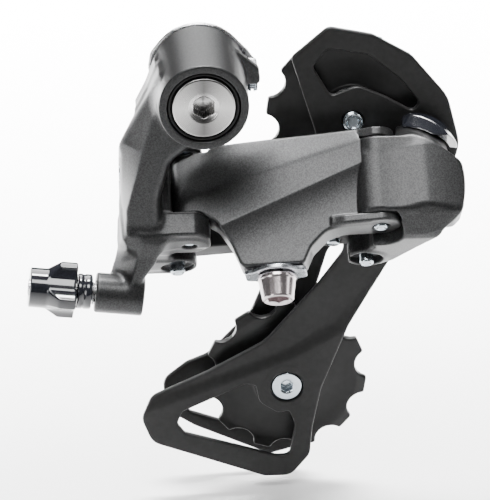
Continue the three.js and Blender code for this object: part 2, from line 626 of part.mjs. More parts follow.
// Chain rollers sit in round valleys centred on the pitch circle.
function pulleyShape(phase) {
  const valley = 4.05;
  const pitchRadius = CHAIN_PITCH / 2 / Math.sin(Math.PI / PULLEY_TEETH);
  const step = (Math.PI * 2) / PULLEY_TEETH;
  const flat = 2.05 / PULLEY_TIP_RADIUS;
  const reach = THREE.MathUtils.degToRad(66);
  const points = [];
  for (let tooth = 0; tooth < PULLEY_TEETH; tooth += 1) {
    const tip = phase + tooth * step;
    for (const side of [-flat, flat]) {
      points.push([PULLEY_TIP_RADIUS * Math.cos(tip + side), PULLEY_TIP_RADIUS * Math.sin(tip + side)]);
    }
    const middle = tip + step / 2;
    for (const turn of [-1, -0.5, 0, 0.5, 1]) {
      const radial = pitchRadius - valley * Math.cos(turn * reach);
      const lateral = valley * Math.sin(turn * reach);
      points.push([
        radial * Math.cos(middle) - lateral * Math.sin(middle),
        radial * Math.sin(middle) + lateral * Math.cos(middle),
      ]);
    }
  }
  return outline(points);
}

const PULLEY_BORE = 5.3;

function makePulley(name, centre, phaseDegrees) {
  const shape = pulleyShape(THREE.MathUtils.degToRad(phaseDegrees));
  const wheel = plate(shape, -1.15, 1.15, 8);
  const hub = ring(PULLEY_BORE, 7.2, -2.6, 2.6);
  const cuts = [
    drum(PULLEY_BORE, -4, 4, [0, 0], 20),
    ring(9, 13.4, -2, -0.6),
    ring(9, 13.4, 0.6, 2),
  ];
  const pulley = piece(name, carve([wheel, hub], cuts), RESIN());
  pulley.position.set(centre[0], PULLEY_Y, centre[1]);
  return pulley;
}

function makePulleyFittings(prefix, centre) {
  const bush = piece(`${prefix}_bush`, ring(2.8, 4.9, -3.1, 3.1, [0, 0], 24), BRONZE());
  const caps = [-1, 1].map((side) => {
    const profile = [
      [2.8, 3.4], [5.3, 3.4], [5.3, 2.9], [8, 2.9], [8, 3.4], [7.6, 3.7], [2.8, 3.7], [2.8, 3.4],
    ];
    const cap = turned(profile, [0, 0], 20);
    if (side < 0) cap.rotateX(Math.PI);
    return piece(`${prefix}_dust_cap_${side < 0 ? 'outer' : 'inner'}`, cap, STEEL());
  });
  const group = new THREE.Group();
  group.position.set(centre[0], PULLEY_Y, centre[1]);
  group.add(bush, ...caps);
  return group;
}

function makePulleyBolt(name, centre, headOutboard) {
  const profile = headOutboard
    ? [[0, 1.0], [3.6, 1.0], [4, 1.3], [4, 2.7], [2.5, 2.7], [2.5, 14], [0, 14]]
    : [[0, 0.6], [2.2, 0.6], [2.5, 0.9], [2.5, 13.1], [4, 13.1], [4, 14.7], [3.6, 15], [0, 15]];
  const body = turned(profile, [0, 0], 20);
  const socket = hexBar(3, 0, 2.6).rotateX(-Math.PI / 2).translate(0, headOutboard ? 0.3 : 12.8, 0);
  const bolt = piece(name, carve([body], [socket]), ZINC());
  bolt.position.set(centre[0], 0, centre[1]);
  return bolt;
}

// ---------------------------------------------------------------- assembly

const derailleur = new THREE.Group();

derailleur.add(makeBAxle(), makeBAxleClip(), makeStopperPlate(), makeBSpring(), makeBBush());
derailleur.add(makeBKnuckle(), makeBTensionScrew());
derailleur.add(...LIMIT_SCREWS.map((screw) => makeLimitScrew(...screw)));

const adjuster = new THREE.Group();
adjuster.position.set(...ADJUSTER);
adjuster.rotation.y = ADJUSTER_TILT;
adjuster.add(makeAdjusterKnob(), makeAdjusterScrew(), makeAdjusterCollar(), makeAdjusterSpring());
derailleur.add(adjuster);

const slant = new THREE.Group();
slant.rotation.x = -SLANT;
slant.add(
  makePin('link_pin_b_outer', B_OUTER, -39.9, -12.4),
  makePin('link_pin_b_inner', B_INNER, -42.3, -24.9),
  makePin('link_pin_p_outer', P_OUTER, -40.2, -14.5),
  makePin('link_pin_p_inner', P_INNER, -44, -27.4),
);

const outerLink = new THREE.Group();
outerLink.position.set(...B_OUTER, 0);
outerLink.rotation.z = LINK_REST;
outerLink.add(makeOuterLink(), makeCableClampPlate(), makeCableBolt());

const innerLink = new THREE.Group();
innerLink.position.set(...B_INNER, 0);
innerLink.rotation.z = LINK_REST;
innerLink.add(makeInnerLink(), makeSpringPin(), makeReturnSpring());
slant.add(outerLink, innerLink);
derailleur.add(slant);

derailleur.add(makePKnuckle(), makePSetScrew(), makePCover(), makePAxle(), makePSpring());
derailleur.add(makeOuterPlate(), makeInnerPlate(), makeStopPin());
derailleur.add(makePulley('guide_pulley', GUIDE, 74.72), makePulleyFittings('guide', GUIDE));
derailleur.add(makePulley('tension_pulley', TENSION, 24.24), makePulleyFittings('tension', TENSION));
derailleur.add(makePulleyBolt('guide_pulley_bolt', GUIDE, false));
derailleur.add(makePulleyBolt('tension_pulley_bolt', TENSION, true));

export default derailleur;
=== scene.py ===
import math

import bpy
import numpy as np
import openvdb as vdb
from mathutils import Matrix, Vector


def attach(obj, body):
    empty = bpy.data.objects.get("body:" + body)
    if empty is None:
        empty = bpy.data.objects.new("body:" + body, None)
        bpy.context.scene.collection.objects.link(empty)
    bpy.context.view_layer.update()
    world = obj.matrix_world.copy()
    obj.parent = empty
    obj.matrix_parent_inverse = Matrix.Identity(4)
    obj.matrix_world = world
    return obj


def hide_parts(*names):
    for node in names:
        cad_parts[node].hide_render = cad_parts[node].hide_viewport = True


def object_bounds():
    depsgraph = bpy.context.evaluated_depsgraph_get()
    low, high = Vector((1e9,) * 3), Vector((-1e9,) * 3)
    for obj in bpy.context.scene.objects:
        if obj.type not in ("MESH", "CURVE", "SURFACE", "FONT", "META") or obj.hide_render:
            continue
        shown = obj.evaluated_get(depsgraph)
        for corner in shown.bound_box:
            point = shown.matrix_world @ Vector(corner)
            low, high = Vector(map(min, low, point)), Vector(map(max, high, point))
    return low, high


# The fine surfaces of a rear derailleur. Most pieces are signed distances in millimetres, sampled on
# a grid in the piece's own frame and meshed in the part's frame in metres.

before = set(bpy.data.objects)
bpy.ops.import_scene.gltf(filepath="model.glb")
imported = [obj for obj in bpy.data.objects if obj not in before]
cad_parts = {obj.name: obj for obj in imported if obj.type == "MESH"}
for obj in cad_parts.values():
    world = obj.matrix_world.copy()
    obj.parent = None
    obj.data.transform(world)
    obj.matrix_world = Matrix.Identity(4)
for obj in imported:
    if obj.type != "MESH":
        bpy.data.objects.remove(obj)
CAD_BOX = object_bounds()

# -------------------- driving sizes, millimetres

MM = 0.001
SLANT = math.radians(46)                  # link pins lean outwards from the vertical
SIN, COS = math.sin(SLANT), math.cos(SLANT)
LINK = 47.9                               # between the two pins of one link
LINK_REST = math.radians(-9.2)
LINK_SWING = math.radians(68)
B_OUTER = (-3.2, 19.2)                    # pin places across the slanted pin direction
B_INNER = (-5.8, 34.2)
P_OUTER = (B_OUTER[0] + LINK * math.cos(LINK_REST), B_OUTER[1] + LINK * math.sin(LINK_REST))
P_INNER = (B_INNER[0] + LINK * math.cos(LINK_REST), B_INNER[1] + LINK * math.sin(LINK_REST))
PIN_RADIUS = 1.8
PIN_HOLE = 2.05
UPPER_LUG_U = (-16.2, -12.4)              # ends of the bracket's lugs along the pins
LOWER_LUG_U = (-40.5, -34.1)
INNER_UPPER_LUG_U = (-28.3, -24.9)
INNER_LOWER_LUG_U = (-40.5, -37.2)
EAR_U = (-17.0, -14.5)                    # ends of the outer link's ears at the cage bracket
LOWER_EAR_U = (-39.6, -37.4)
INNER_LINK_U = (-36.9, -28.6)
BARREL_Y = (-27, -2.4)                    # ends of the bracket's barrel
AXLE_SOCKET = 5.0                         # across flats
P_AXLE = (53.5, -26.0)                    # x and z of the cage pivot
P_BARREL_Y = (-24.6, -1.2)
SET_SCREW_Y = -20.9
GUIDE = (38.97, -16.85)                   # x and z of the upper pulley
TENSION = (22.76, -91.58)                 # x and z of the lower pulley
PULLEY_Y = 7.3                            # pulley plane, from the hanger face
CHAIN_PITCH = 12.7
PULLEY_TEETH = 11
PULLEY_TIP_RADIUS = 21.5
PULLEY_BORE = 5.3
ROLLER_SEAT = 4.05                        # radius of the gap between two teeth
OUTER_PLATE_Y = (1.8, 3.4)
INNER_PLATE_Y = (11.3, 12.9)
STOP_PIN = (57.8, -40.2)
ADJUSTER = (-23.0, -18.0, -53.3)          # a point on the cable adjuster's axis
ADJUSTER_TILT = math.radians(7)
LIMIT_SCREWS = ((-2.9, -27.3), (-8.4, -33.0))   # y and z of the high and the low one
B_SCREW = (13.1, -5.2)                    # x and y of the mounting screw
CLAMP_X = 21.4                            # cable bolt's place along the outer link
SPRING_PIN_X = 39.9                       # spring anchor pin's place along the inner link
CAGE_ROOM_X = 11                          # where the links' inboard edges start to clear the cage

# -------------------- places, local to the part's frame

PART = Matrix.Identity(4)
SLANTED = Matrix.Rotation(-SLANT, 4, "X")


def link_frame(pin):
    """Local x runs along the link at rest, and local z along its pins."""
    return SLANTED @ Matrix.Translation((*pin, 0)) @ Matrix.Rotation(LINK_REST, 4, "Z")


def along_y(x, z):
    """Local z runs along the part's +Y, from the hanger face."""
    return Matrix.Translation((x, 0, z)) @ Matrix.Rotation(-math.pi / 2, 4, "X")


ADJUST = Matrix.Translation(ADJUSTER) @ Matrix.Rotation(ADJUSTER_TILT, 4, "Y")
ADJUST_TURNED = ADJUST @ Matrix.Rotation(math.pi / 2, 4, "Y")
CLAMP = link_frame(B_OUTER) @ Matrix.Translation((CLAMP_X, 0, 0))

# -------------------- signed distances, negative inside


class Grid:
    """A box of sample points in a piece's own frame; x, y and z broadcast against each other."""

    def __init__(self, low, high, step):
        self.low = np.array(low, float)
        self.step = step
        counts = [int(math.ceil((h - l) / step)) + 1 for l, h in zip(low, high)]
        offsets = [np.float32(step) * np.arange(n, dtype=np.float32) for n in counts]
        x, y, z = [np.float32(l) + offset for l, offset in zip(low, offsets)]
        self.x, self.y, self.z = x[:, None, None], y[None, :, None], z[None, None, :]
        self.shape = tuple(counts)


def smooth_min(a, b, k):
    """Union with a blend about k wide."""
    h = np.clip(0.5 + 0.5 * (b - a) / k, 0, 1)
    return b + (a - b) * h - k * h * (1 - h)


def join(parts, k=1.0):
    total = parts[0]
    for part in parts[1:]:
        total = smooth_min(total, part, k)
    return total


def cut(body, tool, k=0.35):
    return -smooth_min(-body, tool, k)


def smooth_max(a, b, k):
    return -smooth_min(-a, -b, k)


def meet(a, b, r=0.4):
    """Intersection whose edge is rounded by r."""
    u, v = a + r, b + r
    return np.minimum(np.maximum(u, v), 0) + np.hypot(np.maximum(u, 0), np.maximum(v, 0)) - r


def span(value, low, high):
    """Slab between two planes."""
    return np.abs(value - (low + high) / 2) - (high - low) / 2


def disc(a, b, centre, radius):
    return np.hypot(a - centre[0], b - centre[1]) - radius


def polygon(points, a, b):
    """Area inside straight edges; each edge that a ray from the sample crosses flips the side."""
    pts = np.asarray([p[:2] for p in points], np.float32)
    best = None
    inside = None
    for p0, p1 in zip(np.roll(pts, 1, axis=0), pts):
        edge = p1 - p0
        wa, wb = a - p0[0], b - p0[1]
        t = np.clip((wa * edge[0] + wb * edge[1]) / float(edge @ edge), 0, 1)
        gap = (wa - edge[0] * t) ** 2 + (wb - edge[1] * t) ** 2
        best = gap if best is None else np.minimum(best, gap)
        above, below = wb >= 0, b < p1[1]
        left = edge[0] * wb > edge[1] * wa
        flip = (above & below & left) | (~above & ~below & ~left)
        inside = flip if inside is None else inside ^ flip
    return np.sqrt(best) * np.where(inside, np.float32(-1), np.float32(1))


def capsule(a, b, p0, p1, r0, r1=None):
    """Bar with round ends; its half width goes from r0 to r1."""
    r1 = r0 if r1 is None else r1
    ex, ey = p1[0] - p0[0], p1[1] - p0[1]
    t = np.clip(((a - p0[0]) * ex + (b - p0[1]) * ey) / (ex * ex + ey * ey), 0, 1)
    return np.hypot(a - p0[0] - ex * t, b - p0[1] - ey * t) - (r0 + (r1 - r0) * t)


def hexagon(a, b, flats):
    folded_a, folded_b = np.abs(a), np.abs(b)
    slanted = folded_a * 0.5 + folded_b * math.sqrt(0.75)
    return np.maximum(folded_a, slanted) - flats / 2


def rounded(points, steps=6):
    """Polygon points from (x, y) corners and (x, y, corner radius) ones."""
    half_edge = 0.49
    out = []
    count = len(points)
    for i, p in enumerate(points):
        here = Vector(p[:2])
        radius = p[2] if len(p) > 2 else 0
        if radius <= 0:
            out.append(tuple(here))
            continue
        before = Vector(points[i - 1][:2]) - here
        after = Vector(points[(i + 1) % count][:2]) - here
        half = before.angle(after) / 2
        back = min(radius / math.tan(half), before.length * half_edge, after.length * half_edge)
        start, end = here + before.normalized() * back, here + after.normalized() * back
        for j in range(steps + 1):
            t = j / steps
            out.append(tuple(start * (1 - t) ** 2 + here * 2 * t * (1 - t) + end * t ** 2))
    return out


def region(points, a, b, steps=6):
    return polygon(rounded(points, steps), a, b)


def smooth_step(value, low, high):
    t = np.clip((value - low) / (high - low), 0, 1)
    return t * t * (3 - 2 * t)


def slant_axes(g):
    """Slanted-frame q (across the pins) and u (along them) of a grid in the part's frame."""
    return COS * g.y - SIN * g.z, SIN * g.y + COS * g.z


def swing_area(a, b, pin, facing, right, left, reach, end_radius):
    """Area that a link of those half widths sweeps round one of its pins, within that reach."""
    first = LINK_REST + facing
    last = first + LINK_SWING

    def at(angle, side, along, turn):
        return (pin[0] + side * math.cos(angle + turn) + along * math.cos(angle),
                pin[1] + side * math.sin(angle + turn) + along * math.sin(angle))

    points = [at(first, right, 0, -math.pi / 2), at(first, right, reach, -math.pi / 2)]
    points.append(at((first + last) / 2, 0, reach * 1.4, 0))
    points += [at(last, left, reach, math.pi / 2), at(last, left, 0, math.pi / 2)]
    arc_steps = 12
    for i in range(1, arc_steps):
        angle = last + math.pi / 2 + (math.pi - LINK_SWING) * i / arc_steps
        points.append((pin[0] + end_radius * math.cos(angle), pin[1] + end_radius * math.sin(angle)))
    return polygon(points, a, b)


# -------------------- meshes


def finish_piece(name, mesh, body, node, look):
    """Make the mesh an object that rides on its body in place of its CAD node."""
    slot, material = look
    obj = bpy.data.objects.new(name, mesh)
    bpy.context.scene.collection.objects.link(obj)
    mesh.materials.append(material)
    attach(obj, body)
    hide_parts(node)


def sample(values, at):
    """Values between the grid's samples, by the eight corners of each cell."""
    low = np.clip(np.floor(at).astype(int), 0, np.array(values.shape) - 2)
    t = (at - low).astype(np.float32)
    total = 0
    for corner in np.ndindex(2, 2, 2):
        weight = np.prod(np.where(np.array(corner), t, 1 - t), axis=1)
        index = low + np.array(corner)
        total = total + weight * values[index[:, 0], index[:, 1], index[:, 2]]
    return total


def slope_at(values, points):
    reach = 0.75
    return np.stack([
        sample(values, points + shift) - sample(values, points - shift)
        for shift in np.eye(3) * reach
    ], axis=1)


def cast(name, grid, values, place, body, node, look):
    """A mesh of the zero surface, pulled onto it and shaded with the field's own slope."""
    values = np.ascontiguousarray(np.broadcast_to(values, grid.shape), np.float32)
    band = 4 * grid.step
    store = vdb.FloatGrid(band)
    store.copyFromArray(np.clip(values, -band, band))
    points, triangles, quads = store.convertToPolygons(isovalue=0.0, adaptivity=0.0)
    points = points.astype(float)
    slope = slope_at(values, points)
    for _ in range(2):
        gap = sample(values, points) / grid.step
        size = np.maximum((slope ** 2).sum(1), 1e-6) ** 0.5
        points = points - slope / size[:, None] * np.clip(gap, -0.5, 0.5)[:, None]
        slope = slope_at(values, points)
    local = points * grid.step + grid.low
    matrix = np.array(place)
    placed = (local @ matrix[:3, :3].T + matrix[:3, 3]) * MM
    normals = slope @ matrix[:3, :3].T
    normals /= np.maximum(np.linalg.norm(normals, axis=1), 1e-9)[:, None]
    mesh = bpy.data.meshes.new(name)
    faces = [tuple(f) for f in quads.tolist()] + [tuple(f) for f in triangles.tolist()]
    mesh.from_pydata(placed.tolist(), [], faces)
    mesh.shade_smooth()
    mesh.normals_split_custom_set_from_vertices(normals.tolist())
    finish_piece(name, mesh, body, node, look)


def turned(name, profile, place, body, node, look, segments=64):
    """Lathe of (radius, z) points about the local z axis; a profile off the axis ends where it starts."""
    closed = profile[0] == profile[-1]
    rows = profile[:-1] if closed else profile
    verts, faces, rings = [], [], []
    for r, z in rows:
        if r == 0:
            rings.append([len(verts)] * segments)
            verts.append((0, 0, z))
            continue
        rings.append(list(range(len(verts), len(verts) + segments)))
        for i in range(segments):
            angle = 2 * math.pi * i / segments
            verts.append((r * math.cos(angle), r * math.sin(angle), z))
    following = rings[1:] + rings[:1] if closed else rings[1:]
    for low, high in zip(rings, following):
        for i in range(segments):
            j = (i + 1) % segments
            corners = list(dict.fromkeys([low[i], low[j], high[j], high[i]]))
            if len(corners) > 2:
                faces.append(corners)
    mesh = bpy.data.meshes.new(name)
    scaled = Matrix.Scale(MM, 4) @ place
    mesh.from_pydata([tuple(scaled @ Vector(v)) for v in verts], [], faces)
    mesh.validate()
    mesh.shade_smooth()
    finish_piece(name, mesh, body, node, look)


def coil(name, radius, wire, turns, low, high, place, body, node, look, steps=28, sides=10):
    """Round wire of that radius wound about the local z axis, with its two ends closed."""
    total = int(turns * steps)
    verts, faces = [], []
    rise = (high - low) / (2 * math.pi * turns)
    for i in range(total + 1):
        angle = 2 * math.pi * i / steps
        out = Vector((math.cos(angle), math.sin(angle), 0))
        tangent = Vector((-radius * math.sin(angle), radius * math.cos(angle), rise)).normalized()
        side = tangent.cross(out)
        centre = out * radius + Vector((0, 0, low + rise * angle))
        for j in range(sides):
            turn = 2 * math.pi * j / sides
            verts.append(centre + out * (wire * math.cos(turn)) + side * (wire * math.sin(turn)))
    for i in range(total):
        for j in range(sides):
            k = (j + 1) % sides
            faces.append((i * sides + k, i * sides + j, (i + 1) * sides + j, (i + 1) * sides + k))
    faces.append(tuple(range(sides)))
    faces.append(tuple(total * sides + j for j in reversed(range(sides))))
    mesh = bpy.data.meshes.new(name)
    scaled = Matrix.Scale(MM, 4) @ place
    mesh.from_pydata([tuple(scaled @ v) for v in verts], [], faces)
    mesh.shade_smooth()
    finish_piece(name, mesh, body, node, look)


# -------------------- materials


class Nodes:
    """Short forms for building one material's node tree."""

    def __init__(self, name):
        self.material = bpy.data.materials.new(name)
        self.material.use_nodes = True
        self.tree = self.material.node_tree
        self.shader = self.tree.nodes["Principled BSDF"]

    def add(self, kind, inputs=(), **settings):
        node = self.tree.nodes.new(kind)
        for key, value in settings.items():
            setattr(node, key, value)
        for key, value in dict(inputs).items():
            node.inputs[key].default_value = value
        return node

    def link(self, source, target):
        self.tree.links.new(source, target)

    def coordinates(self):
        return self.add("ShaderNodeTexCoord").outputs["Object"]

    def noise(self, scale, detail=4.0, roughness=0.5):
        settings = {"Scale": scale, "Detail": detail, "Roughness": roughness}
        node = self.add("ShaderNodeTexNoise", settings)
        self.link(self.coordinates(), node.inputs["Vector"])
        return node.outputs["Fac"]

    def ramp(self, source, stops):
        node = self.add("ShaderNodeValToRGB")
        elements = node.color_ramp.elements
        while len(elements) < len(stops):
            elements.new(0.5)
        for element, (position, colour) in zip(elements, stops):
            element.position = position
            element.color = (*colour, 1)
        self.link(source, node.inputs["Fac"])
        return node.outputs["Color"]

    def bump(self, source, strength, distance):
        node = self.add("ShaderNodeBump", {"Strength": strength, "Distance": distance})
        self.link(source, node.inputs["Height"])
        self.link(node.outputs["Normal"], self.shader.inputs["Normal"])

    def set(self, **values):
        for key, value in values.items():
            self.shader.inputs[key.replace("_", " ")].default_value = value
        return self


def grey(value, tint=(1, 1, 1)):
    return tuple(value * t for t in tint)


def flake_paint(name, dark, light, roughness):
    """Fine metallic flakes under thin lacquer."""
    tint = (1, 1.01, 1.03)
    m = Nodes(name).set(Metallic=0.75, Coat_Weight=0.15, Coat_Roughness=0.25)
    flakes = m.add("ShaderNodeTexVoronoi", {"Scale": 4200})
    m.link(m.coordinates(), flakes.inputs["Vector"])
    sparkle = m.ramp(flakes.outputs["Color"], [(0.25, grey(dark, tint)), (0.75, grey(light, tint))])
    m.link(sparkle, m.shader.inputs["Base Color"])
    cloud = m.ramp(m.noise(60, 3), [(0.3, grey(roughness - 0.02)), (0.7, grey(roughness + 0.03))])
    m.link(cloud, m.shader.inputs["Roughness"])
    m.bump(m.noise(5000, 2), 0.25, 0.00003)
    return m.material


def satin_black(name, value, roughness, grain=700):
    """Dark coating or resin with a fine grain."""
    m = Nodes(name).set(Metallic=0.0, Specular_IOR_Level=0.28)
    tone = m.ramp(m.noise(grain, 5, 0.6), [(0.3, grey(value * 0.75)), (0.75, grey(value * 1.3))])
    m.link(tone, m.shader.inputs["Base Color"])
    rough = m.ramp(m.noise(160, 4), [(0.3, grey(roughness - 0.05)), (0.7, grey(roughness + 0.06))])
    m.link(rough, m.shader.inputs["Roughness"])
    m.bump(m.noise(grain * 2.2, 3), 0.05, 0.0002)
    return m.material


def gloss_black(name):
    m = Nodes(name).set(Metallic=0.0, Specular_IOR_Level=0.6, Coat_Weight=0.8, Coat_Roughness=0.04)
    tone = m.ramp(m.noise(60, 2), [(0.2, (0.006, 0.007, 0.010)), (0.8, (0.012, 0.013, 0.018))])
    m.link(tone, m.shader.inputs["Base Color"])
    rough = m.ramp(m.noise(400, 4), [(0.3, grey(0.10)), (0.7, grey(0.16))])
    m.link(rough, m.shader.inputs["Roughness"])
    return m.material


def metal(name, colour, roughness, grain=600, bump=0.06, spread=0.06):
    """Bare or plated metal, with its brightness and gloss a little uneven."""
    m = Nodes(name).set(Metallic=1.0)
    low = tuple(c * 0.86 for c in colour)
    tone = m.ramp(m.noise(grain, 5, 0.6), [(0.25, low), (0.75, colour)])
    m.link(tone, m.shader.inputs["Base Color"])
    smoothest = max(roughness - spread, 0.03)
    rough = m.ramp(m.noise(grain * 1.3, 3), [(0.3, grey(smoothest)), (0.7, grey(roughness + spread))])
    m.link(rough, m.shader.inputs["Roughness"])
    m.bump(m.noise(grain * 2, 3), bump, 0.0001)
    return m.material


def turned_steel(name, colour, roughness):
    """Rings of a facing cut round the hanger axle, with painted reflection in the base colour: bright
    sectors across and shaded sectors up and down, standing in for the light the rings would catch.
    """
    m = Nodes(name).set(Metallic=1.0, Anisotropic=0.45)
    place = m.coordinates()
    rings = m.add("ShaderNodeTexWave", {"Scale": 900, "Distortion": 1.5, "Detail": 3},
                  wave_type="RINGS", rings_direction="Y")
    m.link(place, rings.inputs["Vector"])
    upright = m.add("ShaderNodeMapping", {"Rotation": (math.pi / 2, 0, 0)})
    m.link(place, upright.inputs["Vector"])
    # painted reflection: the base colour goes bright and dark by angle round the axle
    reflection_sectors = m.add("ShaderNodeTexGradient", gradient_type="RADIAL")
    m.link(upright.outputs["Vector"], reflection_sectors.inputs["Vector"])
    painted_shade_tone = tuple(c * 0.22 for c in colour)
    painted_reflection_tones = [(0.0, colour), (0.25, painted_shade_tone), (0.5, colour), (0.75, painted_shade_tone), (1.0, colour)]
    m.link(m.ramp(reflection_sectors.outputs["Fac"], painted_reflection_tones), m.shader.inputs["Base Color"])
    rough = m.ramp(rings.outputs["Fac"], [(0.0, grey(roughness - 0.05)), (1.0, grey(roughness + 0.07))])
    m.link(rough, m.shader.inputs["Roughness"])
    m.bump(rings.outputs["Fac"], 0.08, 0.00005)
    return m.material


# each look is the record's slot and the material that shows it
PAINT = ("painted_body", flake_paint("flake_paint", 0.024, 0.042, 0.40))
# lighter copy of the body paint: painted light for the outer link's lit faces
LIT_LINK_PAINT = ("painted_body", flake_paint("lit_link_paint", 0.028, 0.048, 0.38))
PLATE = ("cage_plate", satin_black("plate_coating", 0.009, 0.46))
# darker copy of the plate coating: painted shade for the inner plate
SHADED_PLATE = ("cage_plate", satin_black("shaded_inner_plate_coating", 0.007, 0.46))
LINK_BLACK = ("cage_plate", satin_black("inner_link_coating", 0.006, 0.42))
RESIN = ("resin", satin_black("pulley_resin", 0.006, 0.34, 500))
RING_BLACK = ("resin", satin_black("ring_black", 0.008, 0.5, 500))
GLOSS = ("gloss_trim", gloss_black("gloss_cover"))
STEEL = ("axle_steel", turned_steel("turned_steel", (0.80, 0.79, 0.78), 0.24))
PLAIN_STEEL = ("axle_steel", metal("plain_steel", (0.70, 0.70, 0.71), 0.26))
ZINC = ("zinc", metal("zinc_plate", (0.66, 0.73, 0.78), 0.20, 500))
ZINC_DARK = ("clamp_zinc", metal("zinc_shade", (0.50, 0.52, 0.55), 0.28, 500))
CHROME = ("cable_chrome", metal("cable_chrome", (0.72, 0.65, 0.66), 0.22, 300, 0.02, 0.03))
SPRING = ("spring_steel", metal("spring_steel", (0.42, 0.42, 0.43), 0.3, 700))
CAP = ("dust_cap_steel", metal("dust_cap_steel", (0.80, 0.80, 0.81), 0.34, 600))
BRONZE = ("bush_bronze", metal("bush_bronze", (0.56, 0.44, 0.26), 0.42, 900, 0.15, 0.08))

# -------------------- mounting axle


def thread(a, b, along, major, pitch, depth):
    """Screw of that major radius; its thread has a flat at the crest and one at the root."""
    phase = along / pitch - np.arctan2(b, a) / (2 * math.pi)
    tooth = np.abs(phase - np.round(phase)) * 2
    return np.hypot(a, b) - (major - depth * np.clip(tooth * 1.25 - 0.12, 0, 1))


def make_b_axle():
    g = Grid((-8.2, -8.2, -27.6), (8.2, 8.2, 9.2), 0.22)
    r = np.hypot(g.x, g.y)
    head = meet(r - 7.7, span(g.z, BARREL_Y[0], -23.4), 0.55)
    shank = meet(r - 5, span(g.z, -24.5, -0.6), 0.1)
    clip_groove = np.maximum(4.2 - r, span(g.z, -2.2, -0.9))
    threads = meet(thread(g.x, g.y, g.z, 5.0, 1.0, 0.6), span(g.z, -0.9, 8.55), 0.4)
    body = np.minimum(join([head, np.maximum(shank, -clip_groove)], 0.3), threads)
    socket = np.maximum(hexagon(g.x, g.y, AXLE_SOCKET), g.z + 22.6)
    lead_in = np.maximum(r - (3.75 - (g.z - BARREL_Y[0]) * 1.9), g.z + 26.2)
    face_ring = np.maximum(np.abs(r - 3.45) - 0.16, g.z + 26.8)
    body = cut(body, socket, 0.12)
    body = cut(body, lead_in, 0.12)
    body = cut(body, face_ring, 0.05)
    cast("axle_bolt", g, body, along_y(0, 0), "hanger_axle", "b_axle", STEEL)


def make_axle_ring():
    profile = [(8.0, -26.2), (8.35, -26.55), (8.75, -26.2), (8.8, -24.2), (8.0, -24.2), (8.0, -26.2)]
    turned("axle_seal_ring", profile, along_y(0, 0), "bracket", "b_axle_bush", RING_BLACK, 96)


def make_stopper():
    g = Grid((-14.5, -7.6, -14), (15.2, -0.4, 13), 0.3)
    r = np.hypot(g.x, g.z)
    lobe = region([
        (4, 10.4), (12.2, 4.6, 1.4), (14.4, 1.4, 1.2), (14.3, -1.1, 1.0), (9, -6), (2, 0),
    ], g.x, g.z)
    heel = region([(-6, 9.6), (-11.7, 4.4, 1.6), (-12.1, 0.4, 1.5), (-10.4, -4), (-2, 0)], g.x, g.z)
    sheet = meet(join([r - 12, lobe, heel], 1.5), span(g.y, -2.1, -0.9), 0.3)
    screw_lug = meet(meet(span(g.x, 11.95, 14.4), span(g.z, 1.2, 2.4), 0.3), span(g.y, -6.8, -1.5), 0.3)
    body = cut(join([sheet, screw_lug], 0.5), r - 7.5, 0.15)
    cast("stopper_plate_pressed", g, body, PART, "hanger_axle", "stopper_plate", PLAIN_STEEL)


def make_axle_clip():
    g = Grid((-8, -2.6, -8), (8, -0.6, 8), 0.18)
    r = np.hypot(g.x, g.z)
    opening = np.maximum(np.abs(g.x) - (1.4 - g.z * 0.28), g.z)
    ring = meet(np.maximum(4.5 - r, r - 7.1), span(g.y, -1.9, -1.2), 0.15)
    cast("axle_clip", g, cut(ring, opening, 0.3), PART, "hanger_axle", "b_axle_clip", PLAIN_STEEL)


# -------------------- bracket


def bracket_arm(x, y, z):
    """Flank, web and spine, with the C-shaped opening between them."""
    flank = meet(region([
        (-10, 5.4), (-19.5, -13.4, 0.8), (-20.4, -15.4, 0.8), (-20.0, -17.6, 0.8), (-20.5, -41, 1),
        (-10.3, -41), (-10.4, -27, 5), (-7.6, -17.2, 5), (0.5, -11.4, 2), (4, -6),
    ], x, z), span(y, -20.6, -10.4), 2.6)
    front_edge = np.clip(-12.8 + (z + 8.6) * 0.2844, -18.9, -9)
    back_edge = np.clip(-20.2 + (z + 14.3) * 0.352, -20.2, -8)
    facet = ((front_edge - x) * 7.4 - (y + 20.4) * (front_edge - back_edge)) / 8.0
    flank = smooth_max(flank, facet, 0.7)
    web = meet(polygon([(-10.6, 4.4), (-16, -6.4), (-10, -12), (-5, -8)], x, z), span(y, -12, -5), 1.2)
    spine = meet(region([
        (-20.3, -37.5, 1), (-7.5, -25.2, 3), (-7.5, -20.5), (2, -21, 1), (7.2, -27, 2), (7.2, -43, 2),
        (-4, -54.2, 2),
    ], y, z), span(x, -20.0, -7.4), 1.2)
    return join([flank, web, spine], 2.0)


def bracket_lugs(x, q, u):
    """A lug above and below each link's end, and the foot under the outer link's one."""
    root_x = -14
    lugs = []
    for pin, half_width, levels, edge in (
        (B_OUTER, 4.2, UPPER_LUG_U, 0.6),
        (B_OUTER, 5.0, LOWER_LUG_U, 0.55),
        (B_INNER, 4.2, INNER_UPPER_LUG_U, 0.6),
        (B_INNER, 5.0, INNER_LOWER_LUG_U, 0.55),
    ):
        lugs.append(meet(capsule(x, q, pin, (root_x, pin[1]), half_width), span(u, *levels), edge))
    foot = region([(-18.5, 11.2), (-1.5, 11.2, 2), (1.8, 14.6, 2), (1.8, 20), (-18.5, 20)], x, q)
    lugs.append(meet(foot, span(u, *LOWER_LUG_U), 0.7))
    return lugs


def bracket_neck(x, y, z):
    """From the arm down to the cable adjuster's boss."""
    outline = region([
        (-20.2, -36), (-20.5, -42.5, 4), (-23, -47, 4), (-27.2, -49.6, 1), (-27.2, -53.6),
        (-15.4, -53.6), (-15.2, -49, 4), (-12, -44.5, 4), (-9.4, -38),
    ], x, z)
    neck = meet(outline, span(y, -21.4, -12.6), 1.4)
    facet = (-21.6 - x - 0.6 * (y + 12) + 0.25 * (z + 42)) * 0.78
    return smooth_max(neck, facet, 0.8)


